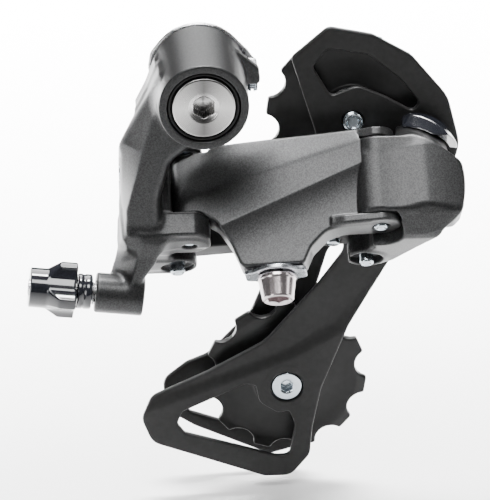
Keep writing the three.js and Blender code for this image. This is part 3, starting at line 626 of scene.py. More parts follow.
def adjuster_axes(x, y, z):
    """Place along the cable adjuster's axis, and distance from that axis."""
    dx, dz = x - ADJUSTER[0], z - ADJUSTER[2]
    along = dx * math.cos(ADJUSTER_TILT) - dz * math.sin(ADJUSTER_TILT)
    up = dx * math.sin(ADJUSTER_TILT) + dz * math.cos(ADJUSTER_TILT)
    return along, np.hypot(up, y - ADJUSTER[1])


def make_b_knuckle():
    g = Grid((-28.6, -28, -60.5), (16.2, 10, 13), 0.34)
    x, y, z = g.x, g.y, g.z
    q, u = slant_axes(g)
    r = np.hypot(x, z)
    along, from_axis = adjuster_axes(x, y, z)
    barrel = meet(r - (10.95 + (y - BARREL_Y[0]) * 0.03), span(y, *BARREL_Y), 0.4)
    screw_boss = meet(region([(9, -1.1), (14.6, -1.1, 0.8), (14.6, 0.6), (9, 0.6)], x, z),
                      span(y, -9.6, -2.7), 0.4)
    screw_wall = meet(region([(8, -1.1), (14.6, -1.1, 0.8), (14.6, 2.6, 1), (9.6, 7), (6, 7)], x, z),
                      span(y, -9.9, -7.3), 0.4)
    arm = join([bracket_arm(x, y, z), *bracket_lugs(x, q, u)], 1.6)
    arm = join([arm, bracket_neck(x, y, z)], 3.0)
    arm = join([arm, meet(from_axis - 5.0, span(along, -4, 8), 0.5)], 1.6)
    body = join([barrel, arm], 2.2)
    body = join([body, screw_boss, screw_wall], 0.8)
    # the axle's head, shank and spring, and nothing past the hanger side of the barrel
    body = cut(body, np.maximum(r - 8.95, y + 22.9), 0.25)
    body = cut(body, r - 5.3, 0.2)
    body = cut(body, np.maximum(r - 8.2, -20.2 - y), 0.25)
    body = cut(body, np.maximum(r - 12.4, BARREL_Y[1] - y), 0.1)
    # pins, and the room in which the two links swing
    for pin in (B_OUTER, B_INNER):
        body = cut(body, disc(x, q, pin, PIN_HOLE), 0.3)
    body = cut(body, np.maximum(disc(x, q, B_INNER, 4.2), u + 39.2), 0.3)
    fork = swing_area(x, q, B_OUTER, 0, 5.7, 5, 10, 5.9)
    body = cut(body, meet(fork, span(u, LOWER_LUG_U[1], UPPER_LUG_U[0]), 0.3), 0.35)
    inner_fork = swing_area(x, q, B_INNER, 0, 3.9, 3.9, 10, 4.05)
    body = cut(body, meet(inner_fork, span(u, INNER_LOWER_LUG_U[1], INNER_UPPER_LUG_U[0]), 0.3), 0.35)
    # screws
    body = cut(body, np.maximum(from_axis - 2.9, along - 5), 0.3)
    body = cut(body, disc(x, y, B_SCREW, 1.55), 0.2)
    for place in LIMIT_SCREWS:
        body = cut(body, np.maximum(disc(y, z, place, 2.35), x + 17.4), 0.3)
        body = cut(body, np.maximum(disc(y, z, place, 1.6), x + 9), 0.1)
    cast("bracket_casting", g, body, PART, "bracket", "b_knuckle", PAINT)


# -------------------- links


def part_y(a, v, w, pin):
    """The part's y, at rest, of samples in the frame of the link on that pin."""
    return COS * (v * math.cos(LINK_REST) + a * math.sin(LINK_REST) + pin[1]) + SIN * w


def link_face(a, v, w):
    """Outboard face: flat in the middle, slanted back above it and rounded off below it."""
    rise_upper = w + 29.6 - 0.25 * a + 2.2 * np.exp(-np.clip(a + 2, 0, 60) / 4)
    fall_lower = np.clip(-41.0 + 0.38 * a - w, 0, 30)
    depth = 0.22 * (np.hypot(rise_upper, 0.5) + rise_upper) / 2 + 2.5 * (1 - np.exp(-fall_lower / 6.5))
    return (-5.45 + depth - v) * 0.93


def make_outer_link():
    g = Grid((-6.2, -6.4, -49.6), (54, 6, -13.4), 0.28)
    a, v, w = g.x, g.y, g.z
    far_pin = (LINK, 0)
    side = region([
        (-5.4, -33.7, 1), (3.4, -33.8, 3), (7.2, -36.4, 4), (10.6, -42, 5), (13, -48.4, 2.2),
        (28.6, -48.6, 1.6), (30.6, -44.4, 5), (34.6, -40.6, 5), (40, -39.5, 4), (47.4, -39.5, 0.8),
        (46.6, -14.6, 0.6), (7, -15.1, 1), (5.6, -16.6, 0.5), (-4.6, -16.6, 1.5),
    ], a, w)
    face = link_face(a, v, w)
    nose = np.hypot(np.minimum(a - 1.2, 0), np.minimum(v + 0.2, 0)) - 5.6
    body = meet(meet(meet(side, face, 0.7), nose, 0.6), v - 4.2, 0.5)
    hollow = region([
        (8.2, -31.4, 1), (8.2, -18.8, 1), (60, -17.2, 1), (60, -37.2, 1), (30, -37, 2), (26, -31.4, 2),
    ], a, w)
    body = cut(body, np.maximum(hollow, face + 1.7), 0.6)
    clamp_hollow = region([(9.8, -33.9, 1), (30, -33.9, 1), (30, -44.9, 1), (12.8, -44.9, 1)], a, w)
    body = cut(body, meet(clamp_hollow, -1.2 - v, 0.8), 0.8)
    body = cut(body, np.maximum(disc(a, v, far_pin, 6.1), span(w, LOWER_EAR_U[1], -10)), 0.35)
    ear = meet(capsule(a, v, (40, 0.6), far_pin, 3.2, 4.7), span(w, *EAR_U), 0.45)
    lower_ear = meet(capsule(a, v, (40, -0.6), far_pin, 4.2, 5.1), span(w, *LOWER_EAR_U), 0.5)
    bridge = region([(36, -4.0), (46, -4.6), (46, 4.2), (36, 3.2, 2)], a, v)
    body = join([body, ear, lower_ear, meet(bridge, span(w, *LOWER_EAR_U), 0.5)], 0.8)
    body = cut(body, np.maximum(disc(a, v, far_pin, 5.95), span(w, LOWER_EAR_U[1], EAR_U[0])), 0.3)
    for place in (0, LINK):
        body = cut(body, disc(a, v, (place, 0), PIN_HOLE), 0.3)
    body = cut(body, np.maximum(disc(a, v, (CLAMP_X, 0), 2.8), w + 42), 0.2)
    body = cut(body, np.maximum(0.2 - part_y(a, v, w, B_OUTER), CAGE_ROOM_X - a), 0.3)
    # the outer link takes the lighter copy of the body paint, painted light
    cast("outer_link_casting", g, body, link_frame(B_OUTER), "outer_arm", "outer_link", LIT_LINK_PAINT)


def make_inner_link():
    g = Grid((-4.4, -4.4, -38.2), (52.4, 4.4, -27.6), 0.28)
    a, v, w = g.x, g.y, g.z
    bar = meet(capsule(a, v, (0, 0), (LINK, 0), 3.5), span(w, *INNER_LINK_U), 0.5)
    hollow = region([(9, -2, 1), (34, -2, 1), (34, 2, 1), (9, 2, 1)], a, v)
    body = cut(bar, np.maximum(hollow, -34.9 - w), 0.4)
    for place, radius in ((0, PIN_HOLE), (LINK, PIN_HOLE), (SPRING_PIN_X, 1.75)):
        body = cut(body, disc(a, v, (place, 0), radius), 0.3)
    body = cut(body, np.maximum(0.9 - part_y(a, v, w, B_INNER), CAGE_ROOM_X - a), 0.3)
    cast("inner_link_forging", g, body, link_frame(B_INNER), "inner_arm", "inner_link", LINK_BLACK)


def make_link_pins():
    for name, pin, low, high, body in (
        ("link_pin_b_outer", B_OUTER, -39.9, -12.4, "bracket"),
        ("link_pin_b_inner", B_INNER, -42.3, -24.9, "bracket"),
        ("link_pin_p_outer", P_OUTER, -40.2, -14.5, "cage_bracket"),
        ("link_pin_p_inner", P_INNER, -44.0, -27.4, "cage_bracket"),
    ):
        profile = [
            (0, low + 0.7), (0.55, low + 0.62), (0.85, low + 0.2), (1.05, low), (1.5, low),
            (1.75, low + 0.25), (PIN_RADIUS, low + 0.6), (PIN_RADIUS, high - 0.4), (1.4, high), (0, high),
        ]
        place = SLANTED @ Matrix.Translation((*pin, 0))
        turned(name.replace("link_pin", "rivet"), profile, place, body, name, ZINC, 40)


def make_spring_pin():
    place = link_frame(B_INNER) @ Matrix.Translation((SPRING_PIN_X, 0, 0))
    profile = [(0, -38), (1.3, -38), (1.6, -37.7), (1.6, -29.2), (1.4, -29), (0, -29)]
    turned("spring_anchor_rivet", profile, place, "inner_arm", "spring_anchor_pin", ZINC, 36)


def make_clamp():
    g = Grid((-8.4, -6.6, -50.8), (8, 6.6, -48.6), 0.16)
    r = np.hypot(g.x, g.y)
    left = region([(-7.8, -2.4, 1), (-3, -4), (-3, 4), (-7.8, 2.4, 1)], g.x, g.y)
    right = region([(3, -4), (7.4, -2.6, 1), (7.4, 2.6, 1), (3, 4)], g.x, g.y)
    body = meet(join([r - 6.0, left, right], 0.8), span(g.z, -50.25, -49.1), 0.25)
    body = cut(body, r - 2.8, 0.1)
    grooves = np.abs(np.mod(g.x + g.y * 0.15, 1.1) - 0.55) - 0.22
    body = cut(body, np.maximum(np.maximum(grooves, -49.35 - g.z), r - 5.6), 0.1)
    cast("cable_clamp_washer", g, body, CLAMP, "outer_arm", "cable_clamp_plate", ZINC_DARK)


def make_cable_bolt():
    g = Grid((-5.3, -5.3, -57.4), (5.3, 5.3, -42.6), 0.16)
    r = np.hypot(g.x, g.y)
    above_face = g.z + 56.9
    head = meet(r - (3.85 + above_face * 0.16), span(g.z, -56.9, -51.3), 0.55)
    collar = meet(r - 4.8, span(g.z, -51.7, -50.6), 0.2)
    shank = meet(thread(g.x, g.y, g.z, 2.5, 0.8, 0.4), span(g.z, -51, -43), 0.3)
    body = np.minimum(join([head, collar], 0.2), shank)
    body = cut(body, np.maximum(hexagon(g.x, g.y, 5.0), g.z + 53.2), 0.12)
    body = cut(body, np.maximum(r - (3.5 - above_face * 1.4), g.z + 56.2), 0.1)
    cast("cable_bolt_plated", g, body, CLAMP, "clamp_bolt", "cable_fixing_bolt", CHROME)


# -------------------- cage bracket


def swept_link(a, b, end, radius):
    """Room for the outer link's end as it turns about its pin on the cage bracket."""
    da, db = a - P_OUTER[0], b - P_OUTER[1]
    stages = 12
    swept = math.inf
    for i in range(stages + 1):
        turn = LINK_REST + LINK_SWING * i / stages
        along = da * math.cos(turn) + db * math.sin(turn)
        across = db * math.cos(turn) - da * math.sin(turn)
        bar = np.maximum(np.maximum(along - end, -20 - along), span(across, -5.9, 4.6))
        swept = np.minimum(swept, bar)
    return np.maximum(swept, radius - np.hypot(da, db))


def p_front(x, u):
    """Outline of the cage bracket's front block, and the q of its slanted front face."""
    outline = region([
        (37.6, -17.5, 2), (44.5, -17.3, 3), (50.7, -17.5, 8), (56, -19.1, 8), (59.9, -21.1, 6),
        (63.7, -23.8, 4), (65.0, -31, 5), (64.6, -36.6, 2), (62.6, -38.6, 2), (52, -39.4), (37.6, -39.4),
    ], x, u)
    swell = 2.0 * smooth_step(x, P_OUTER[0] + 1, P_OUTER[0] + 12) - 0.009 * np.clip(x - 51, 0, 20) ** 2
    top = np.clip(u + 22.4 - 0.12 * (x - 40), 0, 20) * 0.62 * np.exp(-np.clip(x - 42, 0, 40) / 12)
    return outline, P_OUTER[1] - 4.6 - swell + top


def p_skirt(x, q, u):
    """Floor of the casting, from the outer link's pin to the inner link's."""
    px, pq = P_OUTER
    ix, iq = P_INNER
    outline = region([
        (px, pq - 3.9), (px + 2, pq - 6.2), (px + 12, pq - 6.2), (px + 19.6, pq - 5.4, 3),
        (px + 16.4, pq - 1.6, 3), (px + 10, pq + 8, 4), (px + 4, pq + 18, 4), (ix, iq + 5), (ix, iq - 5),
        (px - 1.4, pq + 7), (px - 2, pq + 3.4),
    ], x, q)
    skirt = meet(outline, span(u, -42.5, -30), 0.8)
    return np.maximum(skirt, np.minimum(u + 37.4, 10 - q))


def make_p_knuckle():
    g = Grid((37.4, -8.6, -46), (67, 33, -9), 0.28)
    x, q, u = g.x, g.y, g.z
    y, z = COS * q + SIN * u, -SIN * q + COS * u
    r = disc(x, z, P_AXLE, 0)
    outline, front = p_front(x, u)
    front_face = (front - q) * 0.9
    underside = ((q - 5.4) * -6.1 - (u + 36.6) * 7) / 9.28
    head = meet(meet(outline, q - 17, 1.2), front_face, 1.0)
    barrel = meet(meet(r - 11.9, span(y, *P_BARREL_Y), 0.3), front_face, 1.0)
    core = meet(meet(r - 9.3, span(y, -19, P_BARREL_Y[1]), 0.3), front_face, 0.6)
    head, barrel, skirt = [meet(block, underside, 0.8) for block in (head, barrel, p_skirt(x, q, u))]
    lugs = [
        meet(disc(x, q, P_INNER, 4.2), span(u, -28.3, -24.8), 0.4),
        meet(disc(x, q, P_INNER, 5.1), span(u, -42.5, -37.2), 0.5),
    ]
    stop = meet(meet(span(x, 46, 55.8), span(q, 20, 30), 0.5), span(u, -35.4, -25), 0.5)
    cover_room = np.maximum(np.maximum(r - 12.6, 9.4 - r), np.maximum(0.1 - outline, -12.5 - y))
    body = cut(barrel, np.maximum(cover_room, -31 - u), 0.2)
    body = join([np.minimum(body, head), skirt], 0.6)
    body = join([np.minimum(body, core), *lugs], 1.2)
    body = join([body, stop], 0.6)
    # the room in which the two links swing, and the tongue inside the outer one's
    link_end = -1.0 + 0.12 * np.clip(-39.5 - u, -25, 0)
    body = cut(body, np.maximum(swept_link(x, q, link_end + 0.35, 5.8), span(u, -37.5, -8)), 0.35)
    body = cut(body, np.maximum(disc(x, q, P_OUTER, 5.3), -17.2 - u), 0.3)
    lug_room = np.minimum(swept_link(x, q, 0, 0), disc(x, q, P_OUTER, 5.5))
    body = cut(body, np.maximum(lug_room, u + 37.2), 0.35)
    inner_fork = swing_area(x, q, P_INNER, math.pi, 3.9, 3.9, 14, 4.05)
    body = cut(body, meet(inner_fork, span(u, -37.2, -28.3), 0.3), 0.35)
    body = cut(body, np.maximum(disc(x, q, P_INNER, 4.2), u + 40.6), 0.3)
    body = cut(body, disc(x, q, P_INNER, PIN_HOLE), 0.3)
    tongue = capsule(x, q, P_OUTER, (P_OUTER[0] + 6, P_OUTER[1] + 0.2), 5.8)
    body = join([body, meet(tongue, span(u, -37.1, -17.4), 0.8)], 1.6)
    body = cut(body, disc(x, q, P_OUTER, PIN_HOLE), 0.3)
    # the cage axle and its spring, and nothing past the cage side
    body = cut(body, np.maximum(r - 6.2, -10.5 - y), 0.3)
    body = cut(body, np.maximum(r - 3.3, -14.2 - y), 0.2)
    body = cut(body, -0.9 - y, 0.3)
    cast("cage_bracket_casting", g, body, SLANTED, "cage_bracket", "p_knuckle", PAINT)


def make_p_cover():
    g = Grid((41, -18.2, -38.5), (66, 0, -13.5), 0.24)
    x, y, z = g.x, g.y, g.z
    q, u = slant_axes(g)
    r = disc(x, z, P_AXLE, 0)
    outline, front = p_front(x, u)
    body = meet(np.maximum(r - 12.1, 9.7 - r), span(y, -11.6, -0.5), 0.3)
    body = cut(body, outline, 0.2)
    body = meet(body, front + 1.5 - q, 0.2)
    body = cut(body, disc(x, q, P_OUTER, 7.0), 0.3)
    link_room = swing_area(x, q, P_OUTER, math.pi, 5, 5.6, 16, 7)
    body = cut(body, np.maximum(link_room, span(u, -60, -13.8)), 0.3)
    body = cut(body, np.maximum(P_OUTER[1] - 6.8 - q, u + 17.1), 0.3)
    cast("spring_cover_gloss", g, body, PART, "cage_bracket", "p_spring_cover", GLOSS)


def make_p_axle():
    profile = [
        (0, -13.8), (2.6, -13.8), (2.9, -13.5), (2.9, -11), (3.0, -10.9), (3.0, 1.2), (4.5, 1.2), (4.6, 1.3),
        (4.6, 1.5), (3.0, 1.5), (3.0, 4.2), (4.2, 4.2), (4.4, 4.35), (4.3, 4.65), (3.6, 4.7), (0, 4.7),
    ]
    turned("cage_axle", profile, along_y(*P_AXLE), "cage", "p_axle", PLAIN_STEEL, 48)


def make_set_screw():
    g = Grid((-1.8, -1.8, -37.9), (1.8, 1.8, -29.4), 0.1)
    body = meet(thread(g.x, g.y, g.z, 1.45, 0.5, 0.22), span(g.z, -34.4, -32.4), 0.1)
    place = Matrix.Translation((P_AXLE[0], SET_SCREW_Y, 0))
    cast("cage_axle_grub", g, body, place, "cage_bracket", "p_axle_set_screw", PLAIN_STEEL)


# -------------------- cage, outlines in x and z

OUTER_PLATE = [
    (23.3, 0.6, 1.5), (32.5, 8.6, 2.5), (43.6, 6.3, 4), (53.6, 0.4, 6), (63, -11, 10), (66.4, -24, 10),
    (61.8, -40, 4), (49, -56.3, 8), (38.6, -74.5, 8), (31.8, -92.4, 8), (29.6, -104, 6), (29, -112, 4),
    (24, -118.2, 4), (17, -118.2, 4), (-3, -110.6, 10), (-12.6, -107, 5), (-15.4, -99.8, 4),
    (-12.6, -93.8, 4), (2.2, -86.9, 12), (17, -78.6, 10), (30.9, -62, 10), (37.4, -52.8, 4), (31.5, -26, 6),
]
OUTER_WINDOW = [
    (-6, -101.6, 1.5), (-4.6, -98, 2), (12, -90.4, 1.5), (14.6, -91, 1), (15.6, -96, 3), (20.6, -99.4, 3),
    (23.4, -98.6, 1), (25, -103, 3), (23.6, -112, 3), (20, -112, 3), (-4, -104.4, 1.5),
]
UPPER_WINDOW = [
    (28.7, -2, 1.5), (32.4, 2.8, 2), (42.6, 1, 3), (51, -6, 4), (55.8, -12.4, 1.5), (54, -14.6, 1.5),
    (47.2, -10.6, 4), (40, -7.4, 4), (33.4, -10, 1.5),
]
SUNK_AREA = [
    (60, -40), (45.4, -58.8), (33.9, -72.8), (23.6, -79.7), (10.5, -85.2), (-30, -100), (-30, -140),
    (80, -140),
]
INNER_PLATE = [
    (25.4, -4.4, 2), (33.4, 2.4, 3), (44.5, 1.2, 6), (54, -5.6, 8), (56, -18, 8), (48, -40, 8),
    (34, -57.4, 6), (29.4, -74, 8), (31.4, -92, 8), (29.6, -106, 6), (26.4, -115.4, 4), (19, -117.4, 4),
    (-1, -108, 8), (-8.6, -103, 4), (-9.2, -94, 4), (-3, -89, 6), (2.8, -86.6, 6), (14, -74.6, 8),
    (19, -62, 8), (26, -40, 12), (27, -20, 10),
]
INNER_WINDOW = [
    (-3.6, -99, 2), (13.6, -88.2, 2), (15.4, -97, 3), (20.6, -99.4, 3), (25.6, -99, 1.5), (25.4, -106, 2),
    (21, -112.2, 2.5), (-2.4, -103.6, 1.5),
]
PLATE_STEPS = 5
BOLT_HOLE = 2.7


def make_outer_plate():
    g = Grid((-16.6, -0.6, -119.4), (68, 4.6, 10), 0.3)
    x, y, z = g.x, g.y, g.z
    ramp_width = 4 + 5 * smooth_step(z, -84, -60)
    outboard = smooth_step(-polygon(SUNK_AREA, x, z), 0.0, ramp_width)
    sheet = meet(region(OUTER_PLATE, x, z, PLATE_STEPS), span(y + outboard, *OUTER_PLATE_Y), 0.45)
    from_tension = disc(x, z, TENSION, 0)
    rim = meet(from_tension - 6.2, span(y, 0.9, OUTER_PLATE_Y[1]), 0.4)
    body = join([sheet, rim], 0.6)
    for window in (OUTER_WINDOW, UPPER_WINDOW):
        body = cut(body, region(window, x, z, PLATE_STEPS), 0.5)
    body = cut(body, np.maximum(from_tension - 4.3, y - 2.9), 0.15)
    for centre, radius in ((TENSION, BOLT_HOLE), (GUIDE, BOLT_HOLE), (P_AXLE, 3.2), (STOP_PIN, 1.65)):
        body = cut(body, disc(x, z, centre, radius), 0.2)
    cast("outer_cage_plate", g, body, PART, "cage", "outer_plate", PLATE)


def make_inner_plate():
    g = Grid((-10.6, 10.6, -118.6), (57.4, 13.6, 3.6), 0.32)
    x, y, z = g.x, g.y, g.z
    body = meet(region(INNER_PLATE, x, z, PLATE_STEPS), span(y, *INNER_PLATE_Y), 0.45)
    body = cut(body, region(INNER_WINDOW, x, z, PLATE_STEPS), 0.5)
    for centre in (TENSION, GUIDE):
        body = cut(body, disc(x, z, centre, BOLT_HOLE), 0.2)
    # the inner plate takes the darker copy of the plate coating, painted shade
    cast("inner_cage_plate", g, body, PART, "cage", "inner_plate", SHADED_PLATE)


def pulley_outline(phase):
    """Teeth with flat tips, and a round seat for a chain roller in each gap."""
    pitch_radius = CHAIN_PITCH / 2 / math.sin(math.pi / PULLEY_TEETH)
    half_flat = 2.05 / PULLEY_TIP_RADIUS
    step = 2 * math.pi / PULLEY_TEETH
    seat_half_angle = math.radians(66)
    points = []
    for tooth in range(PULLEY_TEETH):
        tip = phase + tooth * step
        for side in (-half_flat, half_flat):
            turn = tip + side
            points.append((PULLEY_TIP_RADIUS * math.cos(turn), PULLEY_TIP_RADIUS * math.sin(turn), 0.5))
        middle = tip + step / 2
        for i in range(9):
            turn = seat_half_angle * (i / 4 - 1)
            radial = pitch_radius - ROLLER_SEAT * math.cos(turn)
            lateral = ROLLER_SEAT * math.sin(turn)
            points.append((radial * math.cos(middle) - lateral * math.sin(middle),
                           radial * math.sin(middle) + lateral * math.cos(middle)))
    return rounded(points, 2)


def make_pulley(name, node, body_name, centre, degrees):
    g = Grid((-22.1, -3, -22.1), (22.1, 3, 22.1), 0.26)
    x, y, z = g.x, g.y, g.z
    r = np.hypot(x, z)
    rim = polygon(pulley_outline(math.radians(degrees)), x, z)
    taper = 0.35 * smooth_step(r, 18.5, PULLEY_TIP_RADIUS)
    half_width = 1.15 - taper + 1.35 * np.clip((16.0 - r) / 7.8, 0, 1) ** 1.6
    wheel = meet(rim, np.abs(y) - half_width, 0.3)
    hub = meet(np.maximum(r - 8.6, PULLEY_BORE - r), np.abs(y) - 2.6, 0.3)
    body = cut(join([wheel, hub], 0.4), r - PULLEY_BORE, 0.2)
    place = Matrix.Translation((centre[0], PULLEY_Y, centre[1]))
    cast(name, g, body, place, body_name, node, RESIN)


def make_pulley_fittings(prefix, centre):
    place = along_y(*centre) @ Matrix.Translation((0, 0, PULLEY_Y))
    bush = [(2.8, -3.1), (4.7, -3.1), (4.9, -2.9), (4.9, 2.9), (4.7, 3.1), (2.8, 3.1), (2.8, -3.1)]
    turned(prefix + "_sleeve", bush, place, "cage", prefix + "_bush", BRONZE, 48)
    cap = [
        (2.8, 3.4), (5.2, 3.4), (5.3, 3.3), (5.3, 2.9), (7.9, 2.9), (8.0, 3.0), (7.95, 3.4), (7.6, 3.66),
        (7.2, 3.7), (3.1, 3.7), (2.8, 3.6), (2.8, 3.4),
    ]
    turned(prefix + "_cap_inner", cap, place, "cage", prefix + "_dust_cap_inner", CAP)
    flipped = place @ Matrix.Rotation(math.pi, 4, "X")
    turned(prefix + "_cap_outer", cap, flipped, "cage", prefix + "_dust_cap_outer", CAP)


def make_pulley_bolt(name, node, centre, head_outboard):
    low, high = (1.0, 14.0) if head_outboard else (0.6, 15.0)
    head_ends = (1.0, 2.7) if head_outboard else (13.1, 15.0)
    shank_low = 2.2 if head_outboard else low
    g = Grid((-4.5, -4.5, low - 0.5), (4.5, 4.5, high + 0.5), 0.13)
    r = np.hypot(g.x, g.y)
    socket = hexagon(g.x, g.y, 3.0)
    head = meet(r - 4.0, span(g.z, *head_ends), 0.45)
    shank = meet(thread(g.x, g.y, g.z, 2.5, 0.8, 0.35), span(g.z, shank_low, high - 0.2), 0.3)
    body = np.minimum(head, shank)
    if head_outboard:
        body = cut(body, np.maximum(socket, g.z - 3.4), 0.08)
        body = cut(body, np.maximum(r - (2.1 - (g.z - 1.0) * 1.6), g.z - 1.5), 0.1)
    else:
        body = cut(body, np.maximum(socket, 12.8 - g.z), 0.08)
        body = cut(body, np.maximum(r - 1.5, g.z - 1.1), 0.3)
    cast(name, g, body, along_y(*centre), "cage", node, ZINC)


def make_stop_pin():
    profile = [(0, -6), (1.2, -6), (1.5, -5.7), (1.5, 4.1), (1.2, 4.4), (0, 4.4)]
    turned("cage_stop", profile, along_y(*STOP_PIN), "cage", "cage_stop_pin", PLAIN_STEEL, 32)


# -------------------- small screws, adjuster, springs


def make_adjuster_knob():
    g = Grid((-21.2, -8.2, -8.2), (-8.2, 8.2, 8.2), 0.18)
    r = np.hypot(g.y, g.z)
    grip = r - 7.4
    flute_place = 12.3
    for i in range(4):
        turn = math.radians(49 + 90 * i)
        flute = (flute_place * math.cos(turn), flute_place * math.sin(turn))
        grip = np.maximum(grip, -disc(g.y, g.z, flute, 7.5))
    grip = meet(grip, (r - 5.0 - (g.x + 16.2) * 0.76) * 0.8, 0.25)
    grip = meet(grip, span(g.x, -17, -8.9), 0.35)
    core = meet(r - 5.0, span(g.x, -20.5, -9.2), 0.45)
    body = cut(join([grip, core], 0.3), r - 2.2, 0.4)
    body = cut(body, np.maximum(np.maximum(r - 4.6, 3.6 - r), -9.6 - g.x), 0.2)
    cast("adjuster_barrel", g, body, ADJUST, "cable_knob", "adjuster_knob", GLOSS)


def make_adjuster_screw():
    collar = [
        (3.5, -8.6), (4.2, -8.6), (4.4, -8.4), (4.4, -7.3), (4.25, -7.2), (4.25, -6.8), (4.4, -6.7),
        (4.4, -5.2), (4.2, -5.0), (3.5, -5.0), (3.5, -8.6),
    ]
    turned("adjuster_seal", collar, ADJUST_TURNED, "cable_screw", "adjuster_collar", GLOSS, 56)
    g = Grid((-21.2, -3, -3), (4, 3, 3), 0.14)
    r = np.hypot(g.y, g.z)
    stem = meet(r - 1.9, span(g.x, -20.8, -8), 0.2)
    screw = meet(thread(g.y, g.z, g.x, 2.5, 0.8, 0.35), span(g.x, -8.6, 3.4), 0.3)
    body = cut(np.minimum(stem, screw), r - 0.8, 0.15)
    cast("adjuster_thread", g, body, ADJUST, "cable_screw", "adjuster_screw", PLAIN_STEEL)
    coil("adjuster_click_spring", 2.98, 0.2, 3, -8.2, -4.4, ADJUST_TURNED, "cable_screw",
         "adjuster_spring", SPRING)


def make_mounting_screw():
    g = Grid((-1.8, -1.8, -5.1), (1.8, 1.8, 1.4), 0.1)
    body = meet(thread(g.x, g.y, g.z, 1.42, 0.5, 0.2), span(g.z, -4.6, 0.9), 0.25)
    body = cut(body, np.maximum(np.abs(g.x) - 0.3, g.z + 4.0), 0.06)
    place = Matrix.Translation((*B_SCREW, 0))
    cast("b_screw_slotted", g, body, place, "b_screw", "b_tension_screw", ZINC)


def make_limit_screw(name, node, body_name, centre):
    g = Grid((-20.6, -2.4, -2.4), (-9.3, 2.4, 2.4), 0.12)
    head = meet(np.hypot(g.y, g.z) - 2.0, span(g.x, -20.2, -17.7), 0.3)
    shank = meet(thread(g.y, g.z, g.x, 1.4, 0.5, 0.22), span(g.x, -18, -9.7), 0.2)
    from_y, from_z = np.abs(g.y), np.abs(g.z)
    cross = np.minimum(np.maximum(from_y - 0.3, from_z - 1.35), np.maximum(from_z - 0.3, from_y - 1.35))
    body = cut(np.minimum(head, shank), np.maximum(cross, g.x + 19.3), 0.06)
    cast(name, g, body, Matrix.Translation((0, *centre)), body_name, node, ZINC)


def make_springs():
    coil("b_axle_coil", 6.55, 0.75, 5, -18.9, -3.6, along_y(0, 0), "hanger_axle", "b_tension_spring", SPRING)
    coil("cage_axle_coil", 4.9, 0.7, 4, -9.6, -2.2, along_y(*P_AXLE), "cage_bracket",
         "p_tension_spring", SPRING)
    place = link_frame(B_INNER) @ Matrix.Translation((21.5, 0, -31.6)) @ Matrix.Rotation(math.pi / 2, 4, "Y")
    coil("link_return_coil", 1.5, 0.3, 16, -11.5, 11.5, place, "inner_arm", "return_spring", SPRING, 18, 8)


# -------------------- stage, in metres

FLOOR_GAP = 0.004
FLOOR_HALF = 3.0
CAMERA_PLACE = (-0.0371, -0.71127, 0.29268)
CAMERA_AZIMUTH = math.radians(-3.926)
CAMERA_ELEVATION = math.radians(25.742)
CAMERA_LENS = 223.344                     # on a sensor 36 mm high


def make_stage():
    mesh = bpy.data.meshes.new("floor")
    low = CAD_BOX[0][2] - FLOOR_GAP
    corners = [(x, y, low) for x, y in ((-1, -1), (1, -1), (1, 1), (-1, 1))]
    mesh.from_pydata([(x * FLOOR_HALF, y * FLOOR_HALF, z) for x, y, z in corners], [], [(0, 1, 2, 3)])
    floor = bpy.data.objects.new("floor", mesh)
    bpy.context.scene.collection.objects.link(floor)
    m = Nodes("studio_floor").set(Roughness=0.6, Specular_IOR_Level=0.2)
    m.link(m.ramp(m.noise(2, 2), [(0.3, grey(0.93)), (0.7, grey(0.95))]), m.shader.inputs["Base Color"])
    mesh.materials.append(m.material)


def area_light(name, location, target, width, height, power):
    data = bpy.data.lights.new(name, "AREA")
    data.shape = "RECTANGLE"
    data.size = width
    data.size_y = height
    data.energy = power
    obj = bpy.data.objects.new(name, data)
    obj.location = location
    obj.rotation_euler = (Vector(target) - Vector(location)).to_track_quat("-Z", "Y").to_euler()
    bpy.context.scene.collection.objects.link(obj)
    return data


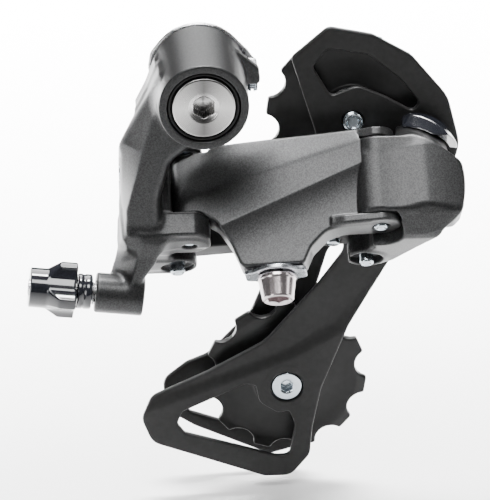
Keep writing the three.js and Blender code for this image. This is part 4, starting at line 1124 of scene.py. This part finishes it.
def make_lights():
    world = bpy.data.worlds.new("studio")
    bpy.context.scene.world = world
    world.use_nodes = True
    background = world.node_tree.nodes["Background"]
    background.inputs["Color"].default_value = (1, 1, 1, 1)
    background.inputs["Strength"].default_value = 0.12
    middle = (0.02, -0.01, -0.05)
    area_light("overhead", (-0.05, -0.42, 0.74), middle, 0.6, 0.3, 7)
    area_light("backdrop", (0.0, 1.0, 0.9), (0.0, 0.5, -0.12), 1.4, 1.0, 30)
    floor_light = area_light("floor_behind", (0.0, 0.46, 0.85), (0.0, 0.46, -0.12), 1.0, 0.6, 36)
    floor_light.spread = math.radians(50)
    area_light("front_left", (-0.75, -0.75, 0.2), middle, 0.3, 0.5, 2.4)
    area_light("right_strip", (0.8, -0.2, 0.15), middle, 0.15, 0.7, 1.2)


def make_camera():
    level = math.cos(CAMERA_ELEVATION)
    across, away = math.sin(CAMERA_AZIMUTH) * level, -math.cos(CAMERA_AZIMUTH) * level
    back = Vector((across, away, math.sin(CAMERA_ELEVATION)))
    data = bpy.data.cameras.new("camera")
    data.sensor_width = 36
    data.lens = CAMERA_LENS
    obj = bpy.data.objects.new("camera", data)
    obj.location = CAMERA_PLACE
    obj.rotation_euler = back.to_track_quat("Z", "Y").to_euler()
    bpy.context.scene.collection.objects.link(obj)
    bpy.context.scene.camera = obj


make_b_axle()
make_axle_ring()
make_stopper()
make_axle_clip()
make_b_knuckle()
make_outer_link()
make_inner_link()
make_link_pins()
make_spring_pin()
make_clamp()
make_cable_bolt()
make_p_knuckle()
make_p_cover()
make_p_axle()
make_set_screw()
make_outer_plate()
make_inner_plate()
make_pulley("guide_wheel", "guide_pulley", "upper_pulley", GUIDE, 74.72)
make_pulley("tension_wheel", "tension_pulley", "lower_pulley", TENSION, 24.24)
make_pulley_fittings("guide", GUIDE)
make_pulley_fittings("tension", TENSION)
make_pulley_bolt("guide_bolt", "guide_pulley_bolt", GUIDE, False)
make_pulley_bolt("tension_bolt", "tension_pulley_bolt", TENSION, True)
make_stop_pin()
make_adjuster_knob()
make_adjuster_screw()
make_mounting_screw()
make_limit_screw("limit_screw_upper", "limit_screw_high", "high_screw", LIMIT_SCREWS[0])
make_limit_screw("limit_screw_lower", "limit_screw_low", "low_screw", LIMIT_SCREWS[1])
make_springs()
make_stage()
make_lights()
make_camera()
